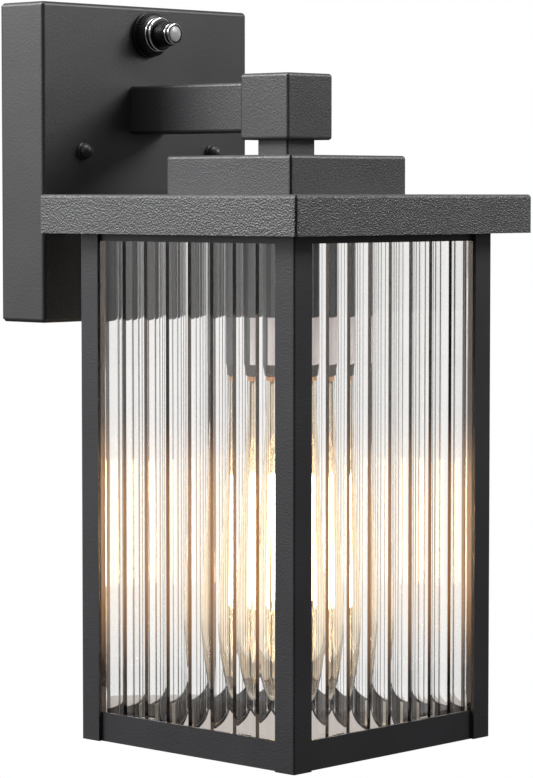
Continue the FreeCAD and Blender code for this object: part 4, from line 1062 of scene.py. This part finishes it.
def roomSlope(tree, place, values):
    dot = addNode(tree, "ShaderNodeVectorMath", {"operation": "DOT_PRODUCT"})
    dot.inputs[1].default_value = values["towards"]
    tree.links.new(place.outputs["Generated"], dot.inputs[0])
    slope = addNode(tree, "ShaderNodeMapRange", {"interpolation_type": "SMOOTHSTEP"})
    slope.inputs["From Min"].default_value = values["start"]
    slope.inputs["From Max"].default_value = values["end"]
    slope.inputs["To Min"].default_value = values["from"]
    slope.inputs["To Max"].default_value = values["to"]
    tree.links.new(dot.outputs["Value"], slope.inputs["Value"])
    return slope.outputs["Result"]


def joinValues(tree, operation, first, second):
    node = addNode(tree, "ShaderNodeMath", {"operation": operation})
    tree.links.new(first, node.inputs[0])
    tree.links.new(second, node.inputs[1])
    return node.outputs[0]


def mixShaders(tree, share, first, second):
    node = addNode(tree, "ShaderNodeMixShader")
    tree.links.new(share, node.inputs[0])
    tree.links.new(first, node.inputs[1])
    tree.links.new(second, node.inputs[2])
    return node.outputs[0]


def makeWorld():
    # white backdrop for the eye; the room that shines on the coat has a dark side and a bright side
    world = bpy.data.worlds.new("studio")
    bpy.context.scene.world = world
    world.use_nodes = True
    tree = world.node_tree
    tree.nodes.clear()
    backdrop = addNode(tree, "ShaderNodeBackground", Strength=1.0)
    backdrop.inputs["Color"].default_value = (1, 1, 1, 1)
    room = addNode(tree, "ShaderNodeBackground")
    place = addNode(tree, "ShaderNodeTexCoord")
    dark, bright, below = [roomSlope(tree, place, values) for values in roomSettings.values()]
    walls = joinValues(tree, "ADD", dark, bright)
    tree.links.new(joinValues(tree, "MULTIPLY", walls, below), room.inputs["Strength"])
    path = addNode(tree, "ShaderNodeLightPath")
    seen = joinValues(tree, "MAXIMUM", path.outputs["Is Camera Ray"], path.outputs["Is Transmission Ray"])
    out = tree.nodes.new("ShaderNodeOutputWorld")
    tree.links.new(mixShaders(tree, seen, room.outputs[0], backdrop.outputs[0]), out.inputs["Surface"])


floorSettings = {"drop": 0.75, "size": 4.6, "around": 96, "seen": (1, 1, 1, 1), "tone": (0.6, 0.55, 0.51, 1),
                 "shade": (0.12, 0.115, 0.11, 1)}


def floorLight(tree, colour):
    light = addNode(tree, "ShaderNodeEmission", Strength=1.0)
    light.inputs["Color"].default_value = floorSettings[colour]
    return light.outputs[0]


def makeFloor():
    # pale, and bright enough to run into the backdrop; warmer where it is seen through the glass
    clearSelection()
    bpy.ops.mesh.primitive_circle_add(vertices=floorSettings["around"], radius=floorSettings["size"],
                                      fill_type="NGON", location=(0, 0, cadLow.z - floorSettings["drop"]))
    floor = settle(bpy.context.object, "floor")
    material, tree, shader = newMaterial("paleFloor")
    tree.nodes.remove(shader)
    path = addNode(tree, "ShaderNodeLightPath")
    glow = mixShaders(tree, path.outputs["Is Transmission Ray"], floorLight(tree, "shade"),
                      floorLight(tree, "tone"))
    glow = mixShaders(tree, path.outputs["Is Camera Ray"], glow, floorLight(tree, "seen"))
    # open from below, so that the lantern can be looked up at through it
    under = addNode(tree, "ShaderNodeNewGeometry")
    clear = addNode(tree, "ShaderNodeBsdfTransparent")
    surface = mixShaders(tree, under.outputs["Backfacing"], glow, clear.outputs[0])
    tree.links.new(surface, tree.nodes["Material Output"].inputs["Surface"])
    floor.data.materials.append(material)


makeCamera()
makeLamps()
makeWorld()
makeFloor()
bpy.context.scene.view_settings.view_transform = "Standard"
print("studio ready")
